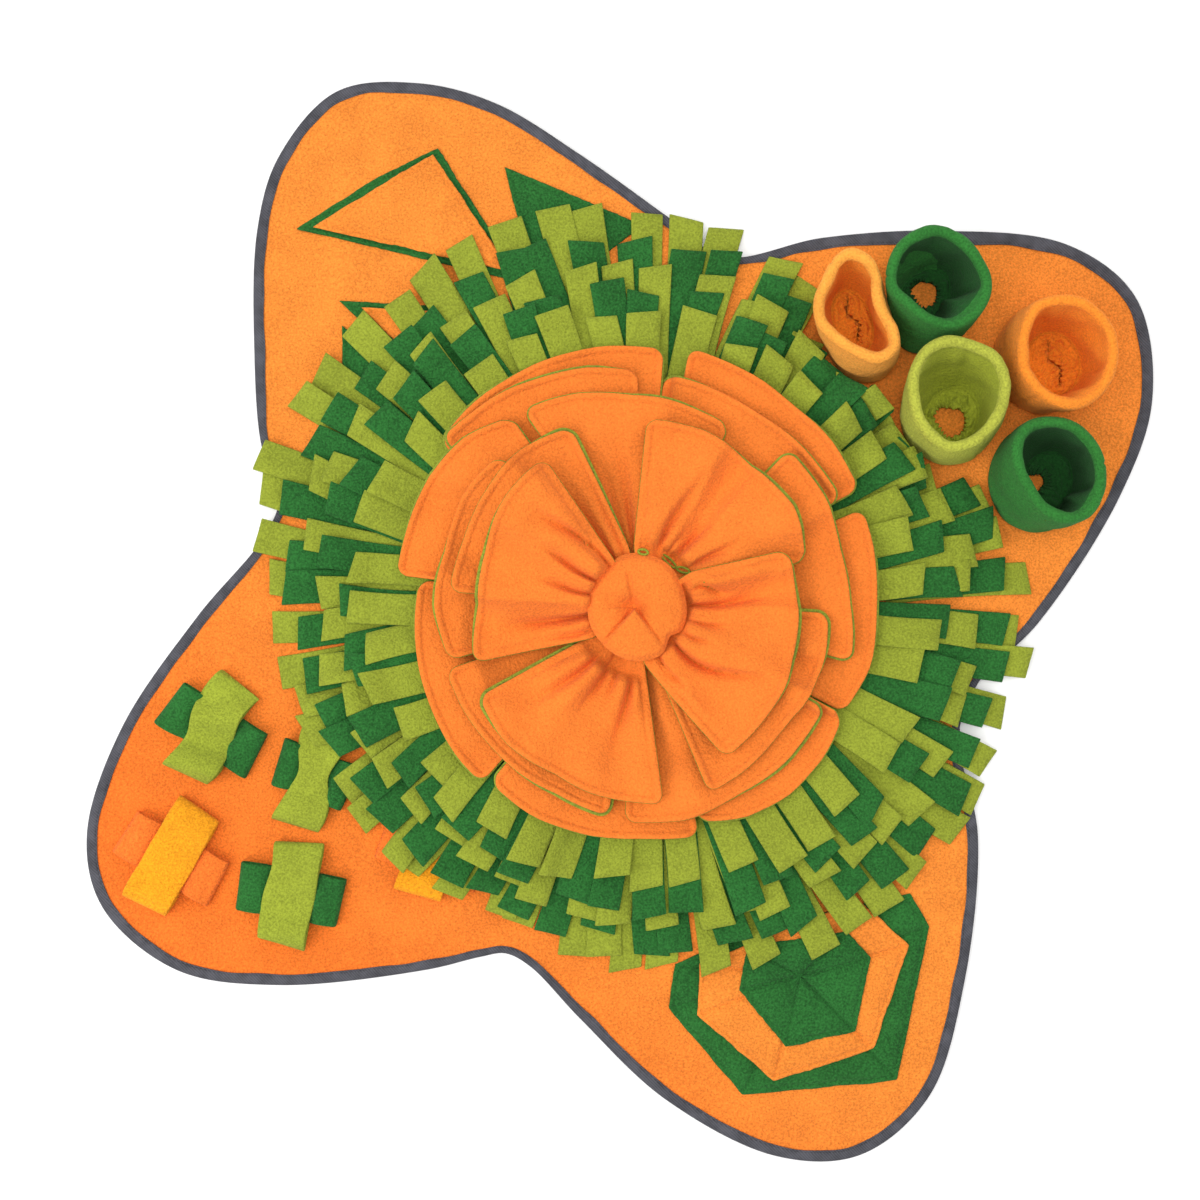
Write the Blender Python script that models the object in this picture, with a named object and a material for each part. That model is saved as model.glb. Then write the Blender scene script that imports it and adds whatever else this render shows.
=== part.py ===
"""Snuffle mat for pets: a four-lobed fleece mat with a bound edge.

A layered fleece flower sits in the middle, on five rings of fleece fringe.
The lobes carry triangular flaps, soft cups, a web patch and crossed loops.
Lengths in the tables are millimetres and angles are degrees; +Z is up.
The origin is under the middle of the mat's box, on the surface it lies on.
"""

import math
import random

import bmesh
import bpy
from mathutils import Vector

MM = 0.001
CLEAR = 0.3                 # gap left between pieces that touch

MAT_THICK = 3.0             # two layers of fleece
MAT_RIM = 1.1               # underside of the rim, lifted by the binding below it
MAT_TOP = MAT_THICK
SEAT = MAT_TOP + CLEAR      # underside of whatever is sewn on the mat
SHEET = 1.8                 # one layer of fleece in flaps and web

BINDING_WIDTH = 13.0
BINDING_TAPE = 0.8
BINDING_TOP = MAT_TOP + CLEAR + BINDING_TAPE
BINDING_WAVE = 0.7          # how much the tape's visible width varies
BINDING_WAVES = (1.7, 0.45)     # radians from one edge point to the next in the two waves
EDGE_STEPS = 120            # points round the mat's edge
CURVE_STEPS = 24            # points that the edge's curve is measured at, between two of its anchors

FLOWER_X = 17.4             # middle of the flower and of the fringe rings
FLOWER_Y = 15.3

# Outer edge of the binding, a smooth closed curve through these points (x, y)
OUTLINE = (
    # top left lobe, from the left notch to the top notch
    (-303, 146), (-310, 235), (-307, 335), (-289, 395), (-240, 450), (-170, 457),
    (-105, 440), (-34, 397), (42, 343), (88, 310),
    # top right lobe
    (172, 326), (270, 332), (380, 320), (438, 275), (452, 190), (425, 108), (355, -1), (304, -52),
    # bottom right lobe, from the right notch
    (288, -95), (304, -181), (292, -308), (262, -403), (204, -452), (133, -453),
    (39, -405), (-33, -337), (-97, -283),
    # bottom left lobe, from the bottom notch
    (-164, -297), (-290, -308), (-376, -295), (-438, -243), (-452, -182), (-423, -91), (-358, 5),
    (-300, 75), (-288, 110),
)

# Fringe: one ring for each row, the lowest first
FRINGE_COLUMNS = ("name", "root", "end", "strips", "colour")
FRINGE = (
    ("fringe_5_lime", 208, 320, 54, "lime"),
    ("fringe_4_green", 196, 294, 50, "green"),
    ("fringe_3_lime", 184, 276, 48, "lime"),
    ("fringe_2_green", 172, 260, 46, "green"),
    ("fringe_1_lime", 160, 240, 44, "lime"),
)
STRIP_WIDTH = 28.5
STRIP_THICK = 2.0
STRIP_BAND = 4.0            # width of the sewn band that holds the strips
STRIP_RISE = 0.28           # slope up to the shoulder, over the rings below
STRIP_LIFT = 0.037          # slope past the shoulder
SHOULDER = 222.0            # radius where the steep climb ends
STRIP_SHORTEST = 228.0      # no strip ends closer to the middle than this
STRIP_UNEVEN = 7.0          # how much the strips' lengths vary either way
STRIP_LEAN = 0.03           # greatest sideways slope of a strip
STRIP_SKEW = 1.5            # how far a cut tip is off square
STRIP_FILL = 0.93           # share of its pitch that a strip takes up at the shoulder
STRIP_SPREAD = 20.0         # length past the shoulder that it needs to reach its full width
STRIP_STEP = 2.0            # step of the search for where a strip has to stop
STRIP_MARGIN = 3.0          # room left round what it stops short of

# Petals: level 0 is the lowest; edge_1 to edge_5 are the outer radii from start to end
PETAL_COLUMNS = ("level", "start", "end", "edge_1", "edge_2", "edge_3", "edge_4", "edge_5")
PETALS = (
    (5, 125, 200, 142, 139, 134, 133, 145),
    (3, 210, 275, 154, 157, 156, 160, 166),
    (4, 300, 380, 143, 137, 131, 128, 126),
    (3, 15, 90, 140, 147, 144, 151, 151),
    (4, 110, 175, 157, 159, 157, 155, 156),
    (2, 65, 120, 163, 168, 172, 181, 186),
    (3, 290, 360, 165, 159, 155, 157, 154),
    (2, 200, 260, 170, 170, 171, 171, 177),
    (3, 135, 195, 167, 172, 168, 170, 166),
    (2, 345, 405, 180, 173, 171, 173, 175),
    (2, 265, 330, 180, 182, 177, 177, 174),
    (1, 30, 85, 185, 186, 184, 187, 191),
    (0, 30, 80, 205, 206, 208, 212, 217),
    (1, 90, 140, 193, 201, 205, 210, 213),
    (0, 85, 140, 212, 217, 218, 217, 214),
    (2, 125, 175, 188, 199, 204, 204, 205),
    (1, 175, 230, 185, 189, 193, 196, 198),
    (0, 230, 285, 192, 197, 197, 195, 198),
    (1, 285, 330, 187, 198, 200, 199, 192),
    (0, 335, 385, 192, 197, 196, 197, 200),
)
PETAL_THICK = 3.0           # orange and lime fleece sewn face to face
PETAL_PITCH = 3.8           # from one level to the next
PETAL_CLIMB = 147.0         # radius from which a petal climbs over the fringe
PETAL_CORNER = 5            # degrees that an outer corner's round takes
PETAL_CORNER_CUT = 8.0      # how far the corner is drawn in
PETAL_EDGE = 3.0            # least width of a petal past its last fold station
FOLD_STEP = 10              # degrees from a gathered fold's ridge to its valley
FOLDS = ((20, 0.8), (60, 2.8), (110, 1.0), (147, 0.0))     # radius, height of the folds

# Twisted bud: radius at each height, from its sewn tail to its crown
BUD = ((SEAT, 14), (28, 14), (28.8, 28), (34, 37), (42, 39.5), (51, 34), (56, 22), (58, 9))
BUD_LOBES = 5
BUD_LOBE_DEPTH = 0.09
BUD_TWIST = 2.6             # degrees of twist for each millimetre of height
BUD_SIDES = 20

# Cups: centre, half widths along and across, turn of the long side, wall
CUP_COLUMNS = ("x", "y", "half_long", "half_short", "turn", "height", "wall", "colour")
CUPS = (
    (190, 249, 49, 34, 105, 70, 9.0, "peach"),
    (260, 282, 41, 39, 80, 72, 9.0, "green"),
    (365, 220, 43, 37, 95, 72, 9.0, "orange"),
    (279, 185, 44, 36.5, 80, 72, 9.0, "lime"),
    (358, 125, 41.5, 34, 85, 72, 9.0, "green"),
)
CUP_SIDES = 16
CUP_FLOOR = 5.0             # gathered bottom of a cup
CUP_HOLE = 11.0             # hole in the middle of the gathered bottom
CUP_DIP = 1.0               # how much lower the bottom is at the hole
CUP_FOOT = 0.88             # foot's size next to the rim's
CUP_BULGE = 0.97            # outside size next to the rim's, at the height below
CUP_BULGE_HEIGHT = 22.0
CUP_INNER_FOOT = 0.95       # inside size next to the rim's, at the bottom
CUP_ROLL = 7.0              # depth of the rim's round
CUP_WOBBLES = ((2, 0.02), (3, 0.018))       # bulges round the cup, share of its size

# Flaps: corners of each triangle; the orange ones lie on green ones
FLAPS = (
    ("flap_1_green", 0, "green", ((-270, 333), (-82, 291), (-155, 400))),
    ("flap_1_orange", 1, "orange", ((-259, 334), (-91, 297), (-156, 396))),
    ("flap_2_green", 0, "green", ((-97, 385), (-68, 272), (20, 336))),
    ("flap_3_green", 0, "green", ((-237, 272), (-160, 200), (-130, 266))),
    ("flap_3_orange", 1, "orange", ((-218, 266), (-163, 212), (-140, 261))),
    ("flap_4_green", 0, "green", ((-235, 251), (-234, 165), (-172, 196))),
)
SIDE_WAVE = 1.2             # how far the cut sides wander
SIDE_POINTS = (0.36, 0.7)   # places along a side where they do

# Web patch: three polygons laid on each other
WEB = (
    ("web_1_green", 0, "green",
     ((262, -258), (235, -388), (104, -400), (42, -327), (47, -290), (128, -256), (246, -230))),
    ("web_2_orange", 1, "orange",
     ((244, -273), (214, -360), (130, -387), (66, -332), (68, -289), (202, -235))),
    ("web_3_green", 2, "green",
     ((211, -283), (198, -344), (140, -357), (101, -310), (108, -273), (191, -261))),
)

# Crossed loops: centre, turn of the upper loop, lengths, height next to a full loop
CROSS_COLUMNS = ("name", "x", "y", "turn", "upper_length", "lower_length", "scale", "upper", "lower")
CROSSES = (
    ("a", -343.5, -90.5, 58, 91, 89, 1.0, "lime", "green"),
    ("b", -257.7, -128.9, 69, 94, 68, 0.6, "lime", "green"),
    ("c", -378.0, -198.6, 60, 97, 93, 1.0, "amber", "orange"),
    ("d", -278.0, -228.8, 80, 89, 90, 1.0, "lime", "green"),
    ("e", -158.0, -194.0, 70, 80, 92, 0.6, "amber", "orange"),
)
LOOP_WIDTH = 41.0
LOOP_WAIST = 22.0           # half length of the sewn middle
LOOP_LOBE = 25.0            # length of the lobe that the tables below describe
# Outline of half a loop, from its sewn middle round the lobe (along, height)
LOWER_SKIN = ((0, 4.6), (4, 7.6), (9, 10.4), (16, 10.8), (21, 9), (24.6, 5.6), (24.3, 2.2), (21.5, 0))
LOWER_HOLE = ((3.5, 2), (3.5, 4.4), (6.5, 6.8), (10.5, 8.4), (15.5, 8.8), (19.7, 7.5), (22.4, 5.2),
              (22.2, 3.2), (20.5, 2))
UPPER_SKIN = ((0, 9.5), (5, 11.2), (11, 12), (17, 11.2), (22, 8.6), (25, 4.9), (24, 1.4), (21, 0),
              (9, 0), (0, 4.95))
UPPER_HOLE = ((3, 6.4), (5, 8.8), (11, 9.8), (16.4, 9.1), (20.2, 7.2), (22.8, 4.8), (22.2, 2.8),
              (20.5, 2), (10, 2))

COLOURS = {
    "orange": (0.96, 0.28, 0.045),
    "petal": (1.0, 0.26, 0.045),
    "peach": (0.98, 0.40, 0.12),
    "amber": (1.0, 0.38, 0.02),
    "lime": (0.38, 0.50, 0.045),
    "green": (0.018, 0.19, 0.045),
    "binding": (0.10, 0.10, 0.125),
}


def rows(columns, table):
    """Each row of a table as a dictionary of its named columns."""
    return [dict(zip(columns, row)) for row in table]


# ---- scene, materials and meshes ----

def clear_scene():
    for old in list(bpy.data.objects):
        bpy.data.objects.remove(old, do_unlink=True)
    collection = bpy.data.collections.new("snuffle_mat")
    bpy.context.scene.collection.children.link(collection)
    return collection


def fabric(name, colour, roughness=0.9):
    material = bpy.data.materials.new(name)
    material.use_nodes = True
    shader = material.node_tree.nodes["Principled BSDF"]
    shader.inputs["Base Color"].default_value = (*colour, 1.0)
    shader.inputs["Roughness"].default_value = roughness
    shader.inputs["Metallic"].default_value = 0.0
    return material


def add_object(name, data, material):
    data.materials.append(material)
    piece = bpy.data.objects.new(name, data)
    COLLECTION.objects.link(piece)
    return piece


def loft(name, rings, material, closed=False):
    """A skin over rings of points in millimetres; closed joins the last ring to the first."""
    mesh = bmesh.new()
    loops = [[mesh.verts.new(Vector(point) * MM) for point in ring] for ring in rings]
    count = len(loops[0])
    pairs = list(zip(loops, loops[1:]))
    if closed:
        pairs.append((loops[-1], loops[0]))
    else:
        mesh.faces.new(loops[0])
        mesh.faces.new(loops[-1])
    for lower, upper in pairs:
        for i in range(count):
            j = (i + 1) % count
            mesh.faces.new((lower[i], lower[j], upper[j], upper[i]))
    return finish_mesh(name, mesh, material)


def thick_sheet(name, columns, thickness, material):
    """A grid of points as a sheet, drawn straight up to its thickness.

    Every square is split along the same diagonal, so sheets on one grid stay parallel.
    """
    mesh = bmesh.new()
    grid = [[mesh.verts.new(Vector(point) * MM) for point in column] for column in columns]
    for left, right in zip(grid, grid[1:]):
        for k in range(len(left) - 1):
            mesh.faces.new((left[k], left[k + 1], right[k + 1]))
            mesh.faces.new((left[k], right[k + 1], right[k]))
    raised = bmesh.ops.extrude_face_region(mesh, geom=mesh.faces[:])["geom"]
    top = [part for part in raised if isinstance(part, bmesh.types.BMVert)]
    bmesh.ops.translate(mesh, verts=top, vec=(0, 0, thickness * MM))
    return finish_mesh(name, mesh, material)


def finish_mesh(name, mesh, material):
    bmesh.ops.recalc_face_normals(mesh, faces=mesh.faces)
    data = bpy.data.meshes.new(name)
    mesh.to_mesh(data)
    mesh.free()
    data.shade_smooth()
    data.set_sharp_from_angle(angle=math.radians(40))
    return add_object(name, data, material)


def plate(name, outlines, thickness, material):
    """A flat outline, with any holes in it, as a filled curve."""
    curve = bpy.data.curves.new(name, "CURVE")
    curve.dimensions = "2D"
    curve.fill_mode = "BOTH"
    curve.extrude = thickness * MM / 2
    for outline in outlines:
        spline = curve.splines.new("POLY")
        spline.points.add(len(outline) - 1)
        for point, (x, y) in zip(spline.points, outline):
            point.co = (x * MM, y * MM, 0, 1)
        spline.use_cyclic_u = True
    return add_object(name, curve, material)


# ---- the mat and its binding ----

def smooth_closed(anchors, steps):
    """Evenly spaced points on a closed Catmull-Rom curve."""
    points = [Vector(anchor) for anchor in anchors]
    count = len(points)
    dense = []
    for i in range(count):
        before, start, end, after = (points[(i + k) % count] for k in (-1, 0, 1, 2))
        knots = [0.0]
        for a, b in ((before, start), (start, end), (end, after)):
            knots.append(knots[-1] + math.sqrt((b - a).length))
        for k in range(CURVE_STEPS):
            t = knots[1] + (knots[2] - knots[1]) * k / CURVE_STEPS
            first = before.lerp(start, (t - knots[0]) / (knots[1] - knots[0]))
            second = start.lerp(end, (t - knots[1]) / (knots[2] - knots[1]))
            third = end.lerp(after, (t - knots[2]) / (knots[3] - knots[2]))
            left = first.lerp(second, (t - knots[0]) / (knots[2] - knots[0]))
            right = second.lerp(third, (t - knots[1]) / (knots[3] - knots[1]))
            dense.append(left.lerp(right, (t - knots[1]) / (knots[2] - knots[1])))
    lengths = [0.0]
    for i in range(len(dense)):
        lengths.append(lengths[-1] + (dense[(i + 1) % len(dense)] - dense[i]).length)
    even = []
    at = 0
    for k in range(steps):
        target = lengths[-1] * k / steps
        while lengths[at + 1] < target:
            at += 1
        part = (target - lengths[at]) / (lengths[at + 1] - lengths[at])
        even.append(dense[at].lerp(dense[(at + 1) % len(dense)], part))
    return even


def inward_normals(points):
    """Unit vectors pointing into a shape whose outline runs clockwise."""
    normals = []
    for i in range(len(points)):
        along = (points[(i + 1) % len(points)] - points[i - 1]).normalized()
        normals.append(Vector((along.y, -along.x)))
    return normals


def edge_ring(points, normals, inset, height):
    return [(*(point + normal * inset), height) for point, normal in zip(points, normals)]


def make_mat(points, normals, material):
    rim = BINDING_TAPE + CLEAR
    recess = BINDING_WIDTH + BINDING_WAVE + CLEAR
    rings = [
        edge_ring(points, normals, recess + MAT_RIM, 0),
        edge_ring(points, normals, recess, MAT_RIM),
        edge_ring(points, normals, rim, MAT_RIM),
        edge_ring(points, normals, rim, MAT_TOP),
    ]
    return loft("mat", rings, material)


def make_binding(points, normals, material):
    """Tape folded over the edge: a C-shaped section carried round the outline."""
    sections = []
    tape = BINDING_TAPE
    fast, slow = BINDING_WAVES
    for i, (point, normal) in enumerate(zip(points, normals)):
        width = BINDING_WIDTH + BINDING_WAVE * math.sin(i * fast) * math.cos(i * slow)
        section = ((width, 0), (0, 0), (0, BINDING_TOP), (width, BINDING_TOP),
                   (width, BINDING_TOP - tape), (tape, BINDING_TOP - tape), (tape, tape), (width, tape))
        sections.append([(*(point + normal * inset), height) for inset, height in section])
    return loft("edge_binding", sections, material, closed=True)


# ---- what the fringe has to stop short of ----

def in_ellipse(x, y, centre, turn, half_long, half_short):
    u, v = to_local(x, y, centre, turn)
    return (u / half_long) ** 2 + (v / half_short) ** 2 < 1


def in_rectangle(x, y, centre, turn, half_long, half_short):
    u, v = to_local(x, y, centre, turn)
    return abs(u) < half_long and abs(v) < half_short


def to_local(x, y, centre, turn):
    c, s = math.cos(math.radians(turn)), math.sin(math.radians(turn))
    dx, dy = x - centre[0], y - centre[1]
    return dx * c + dy * s, dy * c - dx * s


def obstacles():
    """What stands on the mat near the fringe: test, its sizes and its top."""
    found = []
    for cup in rows(CUP_COLUMNS, CUPS):
        sizes = ((cup["x"], cup["y"]), cup["turn"], cup["half_long"] + STRIP_MARGIN,
                 cup["half_short"] + STRIP_MARGIN)
        found.append((in_ellipse, sizes, SEAT + cup["height"]))
    for cross in rows(CROSS_COLUMNS, CROSSES):
        centre = (cross["x"], cross["y"])
        half_width = LOOP_WIDTH / 2 + STRIP_MARGIN
        for turn, length, skin in ((cross["turn"], cross["upper_length"], UPPER_SKIN),
                                   (cross["turn"] - 90, cross["lower_length"], LOWER_SKIN)):
            top = SEAT + cross["scale"] * max(height for _, height in skin)
            found.append((in_rectangle, (centre, turn, length / 2 + STRIP_MARGIN, half_width), top))
    return found


# ---- fringe ----

def strip_height(root, radius):
    """Underside of a strip, parallel from ring to ring so that none meets another."""
    climb = STRIP_RISE * max(0.0, min(radius, SHOULDER) - root)
    return SEAT + climb + STRIP_LIFT * max(0.0, radius - SHOULDER)


def strip_end(root, angle, lean, longest, blocks):
    """Radius that a strip reaches before it meets something taller than its underside."""
    radius = STRIP_SHORTEST
    while radius < longest:
        for side in (-0.5, 0.0, 0.5):
            turn = angle + (side * STRIP_WIDTH + lean * (radius - SHOULDER)) / radius
            x = FLOWER_X + radius * math.cos(turn)
            y = FLOWER_Y + radius * math.sin(turn)
            for inside, sizes, top in blocks:
                if top + CLEAR > strip_height(root, radius) and inside(x, y, *sizes):
                    return max(STRIP_SHORTEST, radius - STRIP_STEP)
        radius += STRIP_STEP
    return longest


def make_fringe(ring, blocks, material):
    """A comb: a narrow band with strips that share only their roots."""
    mesh = bmesh.new()
    count, root = ring["strips"], ring["root"]
    pitch = 2 * math.pi / count
    draw = random.Random(ring["name"])

    def post(angle, radius, across, height):
        """The lower and upper point at a place across a strip."""
        c, s = math.cos(angle), math.sin(angle)
        x = FLOWER_X + radius * c - across * s
        y = FLOWER_Y + radius * s + across * c
        return [mesh.verts.new(Vector((x, y, z)) * MM) for z in (height, height + STRIP_THICK)]

    inner = [post(i * pitch, root - STRIP_BAND, 0, SEAT) for i in range(count)]
    roots = [post(i * pitch, root, 0, SEAT) for i in range(count)]
    for i in range(count):
        angle = (i + 0.5) * pitch
        lean = draw.uniform(-STRIP_LEAN, STRIP_LEAN)
        longest = ring["end"] + draw.uniform(-STRIP_UNEVEN, STRIP_UNEVEN)
        end = strip_end(root, angle, lean, longest, blocks)
        near = min(STRIP_WIDTH, pitch * SHOULDER * STRIP_FILL) / 2
        far = near + (STRIP_WIDTH / 2 - near) * min(1.0, (end - SHOULDER) / STRIP_SPREAD)
        shift = lean * (end - SHOULDER)
        skew = draw.uniform(-STRIP_SKEW, STRIP_SKEW)
        left, right = roots[i], roots[(i + 1) % count]
        shoulder = strip_height(root, SHOULDER)
        stations = [
            (left, right),
            (post(angle, SHOULDER, -near, shoulder), post(angle, SHOULDER, near, shoulder)),
            (post(angle, end - skew, shift - far, strip_height(root, end)),
             post(angle, end + skew, shift + far, strip_height(root, end))),
        ]
        for (a, b), (c, d) in zip(stations, stations[1:]):
            mesh.faces.new((a[0], b[0], d[0], c[0]))
            mesh.faces.new((a[1], c[1], d[1], b[1]))
            mesh.faces.new((a[0], c[0], c[1], a[1]))
            mesh.faces.new((b[0], b[1], d[1], d[0]))
        tip_left, tip_right = stations[-1]
        mesh.faces.new((tip_left[0], tip_right[0], tip_right[1], tip_left[1]))
        back_left, back_right = inner[i], inner[(i + 1) % count]
        mesh.faces.new((back_left[0], back_right[0], right[0], left[0]))
        mesh.faces.new((back_left[1], left[1], right[1], back_right[1]))
        mesh.faces.new((back_left[0], back_left[1], back_right[1], back_right[0]))
    return finish_mesh(ring["name"], mesh, material)


# ---- flower ----

def between(table, at):
    """Straight-line value from a table of (place, value)."""
    if at <= table[0][0]:
        return table[0][1]
    for (a, low), (b, high) in zip(table, table[1:]):
        if at <= b:
            return low + (high - low) * (at - a) / (b - a)
    return table[-1][1]


def petal_height(level, angle, radius):
    """Underside of a petal: level by level, gathered in the middle, up over the fringe."""
    ridge = abs((angle / FOLD_STEP) % 2 - 1)
    climb = STRIP_RISE * max(0.0, min(radius, SHOULDER) - PETAL_CLIMB)
    return SEAT + PETAL_PITCH * level + climb + ridge * between(FOLDS, radius)


def petal_columns(petal):
    """Angles of a petal's sections: its sides, its rounded corners and the fold lines between."""
    start, end = petal["start"], petal["end"]
    corners = (start + PETAL_CORNER, end - PETAL_CORNER)
    folds = [angle for angle in range(0, 720, FOLD_STEP) if corners[0] < angle < corners[1]]
    return sorted({start, end, *corners, *folds})


def make_petal(name, petal, material):
    columns = petal_columns(petal)
    edges = [petal["edge_%d" % k] for k in range(1, 6)]
    table = [(petal["start"] + (petal["end"] - petal["start"]) * k / 4, edge)
             for k, edge in enumerate(edges)]
    stations = [radius for radius, _ in FOLDS if radius < min(edges) - PETAL_EDGE]
    grid = []
    for angle in columns:
        outer = between(table, angle)
        if angle in (petal["start"], petal["end"]):
            outer = max(outer - PETAL_CORNER_CUT, stations[-1] + PETAL_EDGE)
        c, s = math.cos(math.radians(angle)), math.sin(math.radians(angle))
        grid.append([(FLOWER_X + radius * c, FLOWER_Y + radius * s, petal_height(petal["level"], angle, radius))
                     for radius in stations + [outer]])
    return thick_sheet(name, grid, PETAL_THICK, material)


def make_bud(material):
    """The rolled and twisted middle of the flower, on its sewn tail."""
    rings = []
    tail = BUD[1][0]
    for height, radius in BUD:
        ring = []
        for k in range(BUD_SIDES):
            angle = 2 * math.pi * k / BUD_SIDES
            twist = math.radians(BUD_TWIST * (height - tail))
            lobe = BUD_LOBE_DEPTH * math.cos(BUD_LOBES * (angle - twist)) if height > tail else 0
            reach = radius * (1 + lobe)
            ring.append((FLOWER_X + reach * math.cos(angle), FLOWER_Y + reach * math.sin(angle), height))
        rings.append(ring)
    return loft("centre_bud", rings, material)


# ---- cups ----

def make_cup(name, cup, number, material):
    """A soft cup: foot, wall, rolled rim and gathered bottom, as one turned and uneven skin."""
    top = SEAT + cup["height"]
    wall = cup["wall"]
    # share of the half width, millimetres inside it, height
    profile = ((CUP_FOOT, 0, SEAT), (CUP_BULGE, 0, CUP_BULGE_HEIGHT), (1.0, 0, top - CUP_ROLL),
               (1.0, wall / 2, top), (1.0, wall, top - CUP_ROLL), (CUP_INNER_FOOT, wall, SEAT + CUP_FLOOR))
    turn = math.radians(cup["turn"])
    sections = []
    for k in range(CUP_SIDES):
        angle = 2 * math.pi * k / CUP_SIDES
        wobble = 1 + sum(size * math.sin(bulges * angle + number) for bulges, size in CUP_WOBBLES)
        c, s = math.cos(angle), math.sin(angle)
        section = []
        for share, inside, height in profile:
            along = (cup["half_long"] * share * wobble - inside) * c
            across = (cup["half_short"] * share * wobble - inside) * s
            section.append((along, across, height))
        for height in (SEAT + CUP_FLOOR - CUP_DIP, SEAT):
            section.append((CUP_HOLE * c, CUP_HOLE * s, height))
        sections.append([(cup["x"] + a * math.cos(turn) - b * math.sin(turn),
                          cup["y"] + a * math.sin(turn) + b * math.cos(turn), z) for a, b, z in section])
    return loft(name, sections, material, closed=True)


# ---- flaps, web patch and crossed loops ----

def cut_sides(corners, draw):
    """The corners with two points along each side, off the straight line by a little."""
    outline = []
    for i, corner in enumerate(corners):
        start, end = Vector(corner), Vector(corners[(i + 1) % len(corners)])
        side = Vector((end.y - start.y, start.x - end.x)).normalized()
        outline.append(tuple(start))
        for part in SIDE_POINTS:
            outline.append(tuple(start.lerp(end, part) + side * draw.uniform(-SIDE_WAVE, SIDE_WAVE)))
    return outline


def make_layer(name, layer, corners, material):
    """A cut piece of fleece, sewn flat on the mat or on the layer under it."""
    draw = random.Random(name)
    piece = plate(name, [cut_sides(corners, draw)], SHEET, material)
    piece.location.z = (SEAT + layer * (SHEET + CLEAR) + SHEET / 2) * MM
    return piece


def loop_outlines(skin, hole, length):
    """Side view of a whole loop: two lobes joined by the sewn middle, and the gap in each."""
    stretch = (length / 2 - LOOP_WAIST) / LOOP_LOBE
    right = [(LOOP_WAIST + along * stretch, height) for along, height in skin]
    left = [(-x, height) for x, height in reversed(right)]
    gap = [(LOOP_WAIST + along * stretch, height) for along, height in hole]
    return [right + left, gap, [(-x, height) for x, height in reversed(gap)]]


def make_loop(name, centre, turn, length, scale, shape, material):
    outlines = loop_outlines(*shape, length)
    outlines = [[(x, height * scale) for x, height in outline] for outline in outlines]
    piece = plate(name, outlines, LOOP_WIDTH, material)
    piece.location = (centre[0] * MM, centre[1] * MM, SEAT * MM)
    piece.rotation_euler = (math.radians(90), 0, math.radians(turn))
    return piece


def build():
    paint = {name: fabric(name, colour) for name, colour in COLOURS.items()}
    points = smooth_closed(OUTLINE, EDGE_STEPS)
    normals = inward_normals(points)
    make_mat(points, normals, paint["orange"])
    make_binding(points, normals, paint["binding"])
    blocks = obstacles()
    for ring in rows(FRINGE_COLUMNS, FRINGE):
        make_fringe(ring, blocks, paint[ring["colour"]])
    for number, petal in enumerate(rows(PETAL_COLUMNS, PETALS), 1):
        make_petal("petal_%02d" % number, petal, paint["petal"])
    make_bud(paint["petal"])
    for number, cup in enumerate(rows(CUP_COLUMNS, CUPS), 1):
        make_cup("cup_%d" % number, cup, number, paint[cup["colour"]])
    for name, layer, colour, corners in FLAPS + WEB:
        make_layer(name, layer, corners, paint[colour])
    for cross in rows(CROSS_COLUMNS, CROSSES):
        centre = (cross["x"], cross["y"])
        make_loop("loop_%s_lower" % cross["name"], centre, cross["turn"] - 90, cross["lower_length"],
                  cross["scale"], (LOWER_SKIN, LOWER_HOLE), paint[cross["lower"]])
        make_loop("loop_%s_upper" % cross["name"], centre, cross["turn"], cross["upper_length"],
                  cross["scale"], (UPPER_SKIN, UPPER_HOLE), paint[cross["upper"]])


COLLECTION = clear_scene()
build()
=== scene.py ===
"""Looks of the snuffle mat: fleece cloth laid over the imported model, light and camera.

Lengths are millimetres, and the tables' angles degrees, unless a comment says otherwise; +Z is up.
Most cloths are grids of points laid on whatever lies below them, lowest piece first.
"""

import math
import random

import bmesh
import bpy
import numpy as np
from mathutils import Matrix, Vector


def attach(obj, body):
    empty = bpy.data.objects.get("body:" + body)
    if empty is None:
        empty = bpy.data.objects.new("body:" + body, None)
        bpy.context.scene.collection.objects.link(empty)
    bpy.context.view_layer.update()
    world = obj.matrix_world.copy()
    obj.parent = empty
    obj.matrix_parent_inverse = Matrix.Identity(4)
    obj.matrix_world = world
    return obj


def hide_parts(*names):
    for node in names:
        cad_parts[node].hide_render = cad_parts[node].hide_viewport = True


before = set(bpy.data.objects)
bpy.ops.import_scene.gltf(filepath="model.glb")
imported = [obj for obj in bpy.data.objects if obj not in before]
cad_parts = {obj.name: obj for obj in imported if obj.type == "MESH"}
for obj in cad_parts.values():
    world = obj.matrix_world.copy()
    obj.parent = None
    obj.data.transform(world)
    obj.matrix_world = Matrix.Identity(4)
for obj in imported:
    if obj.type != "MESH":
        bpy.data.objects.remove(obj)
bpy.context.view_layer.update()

MM = 0.001
BODY = "root"


def rows(columns, table):
    """Each row of a table as a dictionary of its named columns."""
    return [dict(zip(columns, row)) for row in table]


# ---- camera and room ----
CAMERA_X = -16.6            # the picture's middle, on the floor
CAMERA_Y = 18.7
CAMERA_HEIGHT = 1450.0
VIEW_WIDTH = 1020.0         # floor that the picture spans
FLOOR_HALF = 6.0            # metres
FLOOR_LEVEL = -0.0005       # metres, just under the mat
WORLD_LIGHT = 0.68
# name, place in metres, size in metres, watts
LIGHTS = (
    ("overhead", (-0.15, 0.15, 2.9), 1.2, 27),
    ("key", (-1.7, -0.7, 1.8), 2.0, 42),
    ("fill", (1.2, 1.6, 2.0), 2.4, 21),
)

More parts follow.
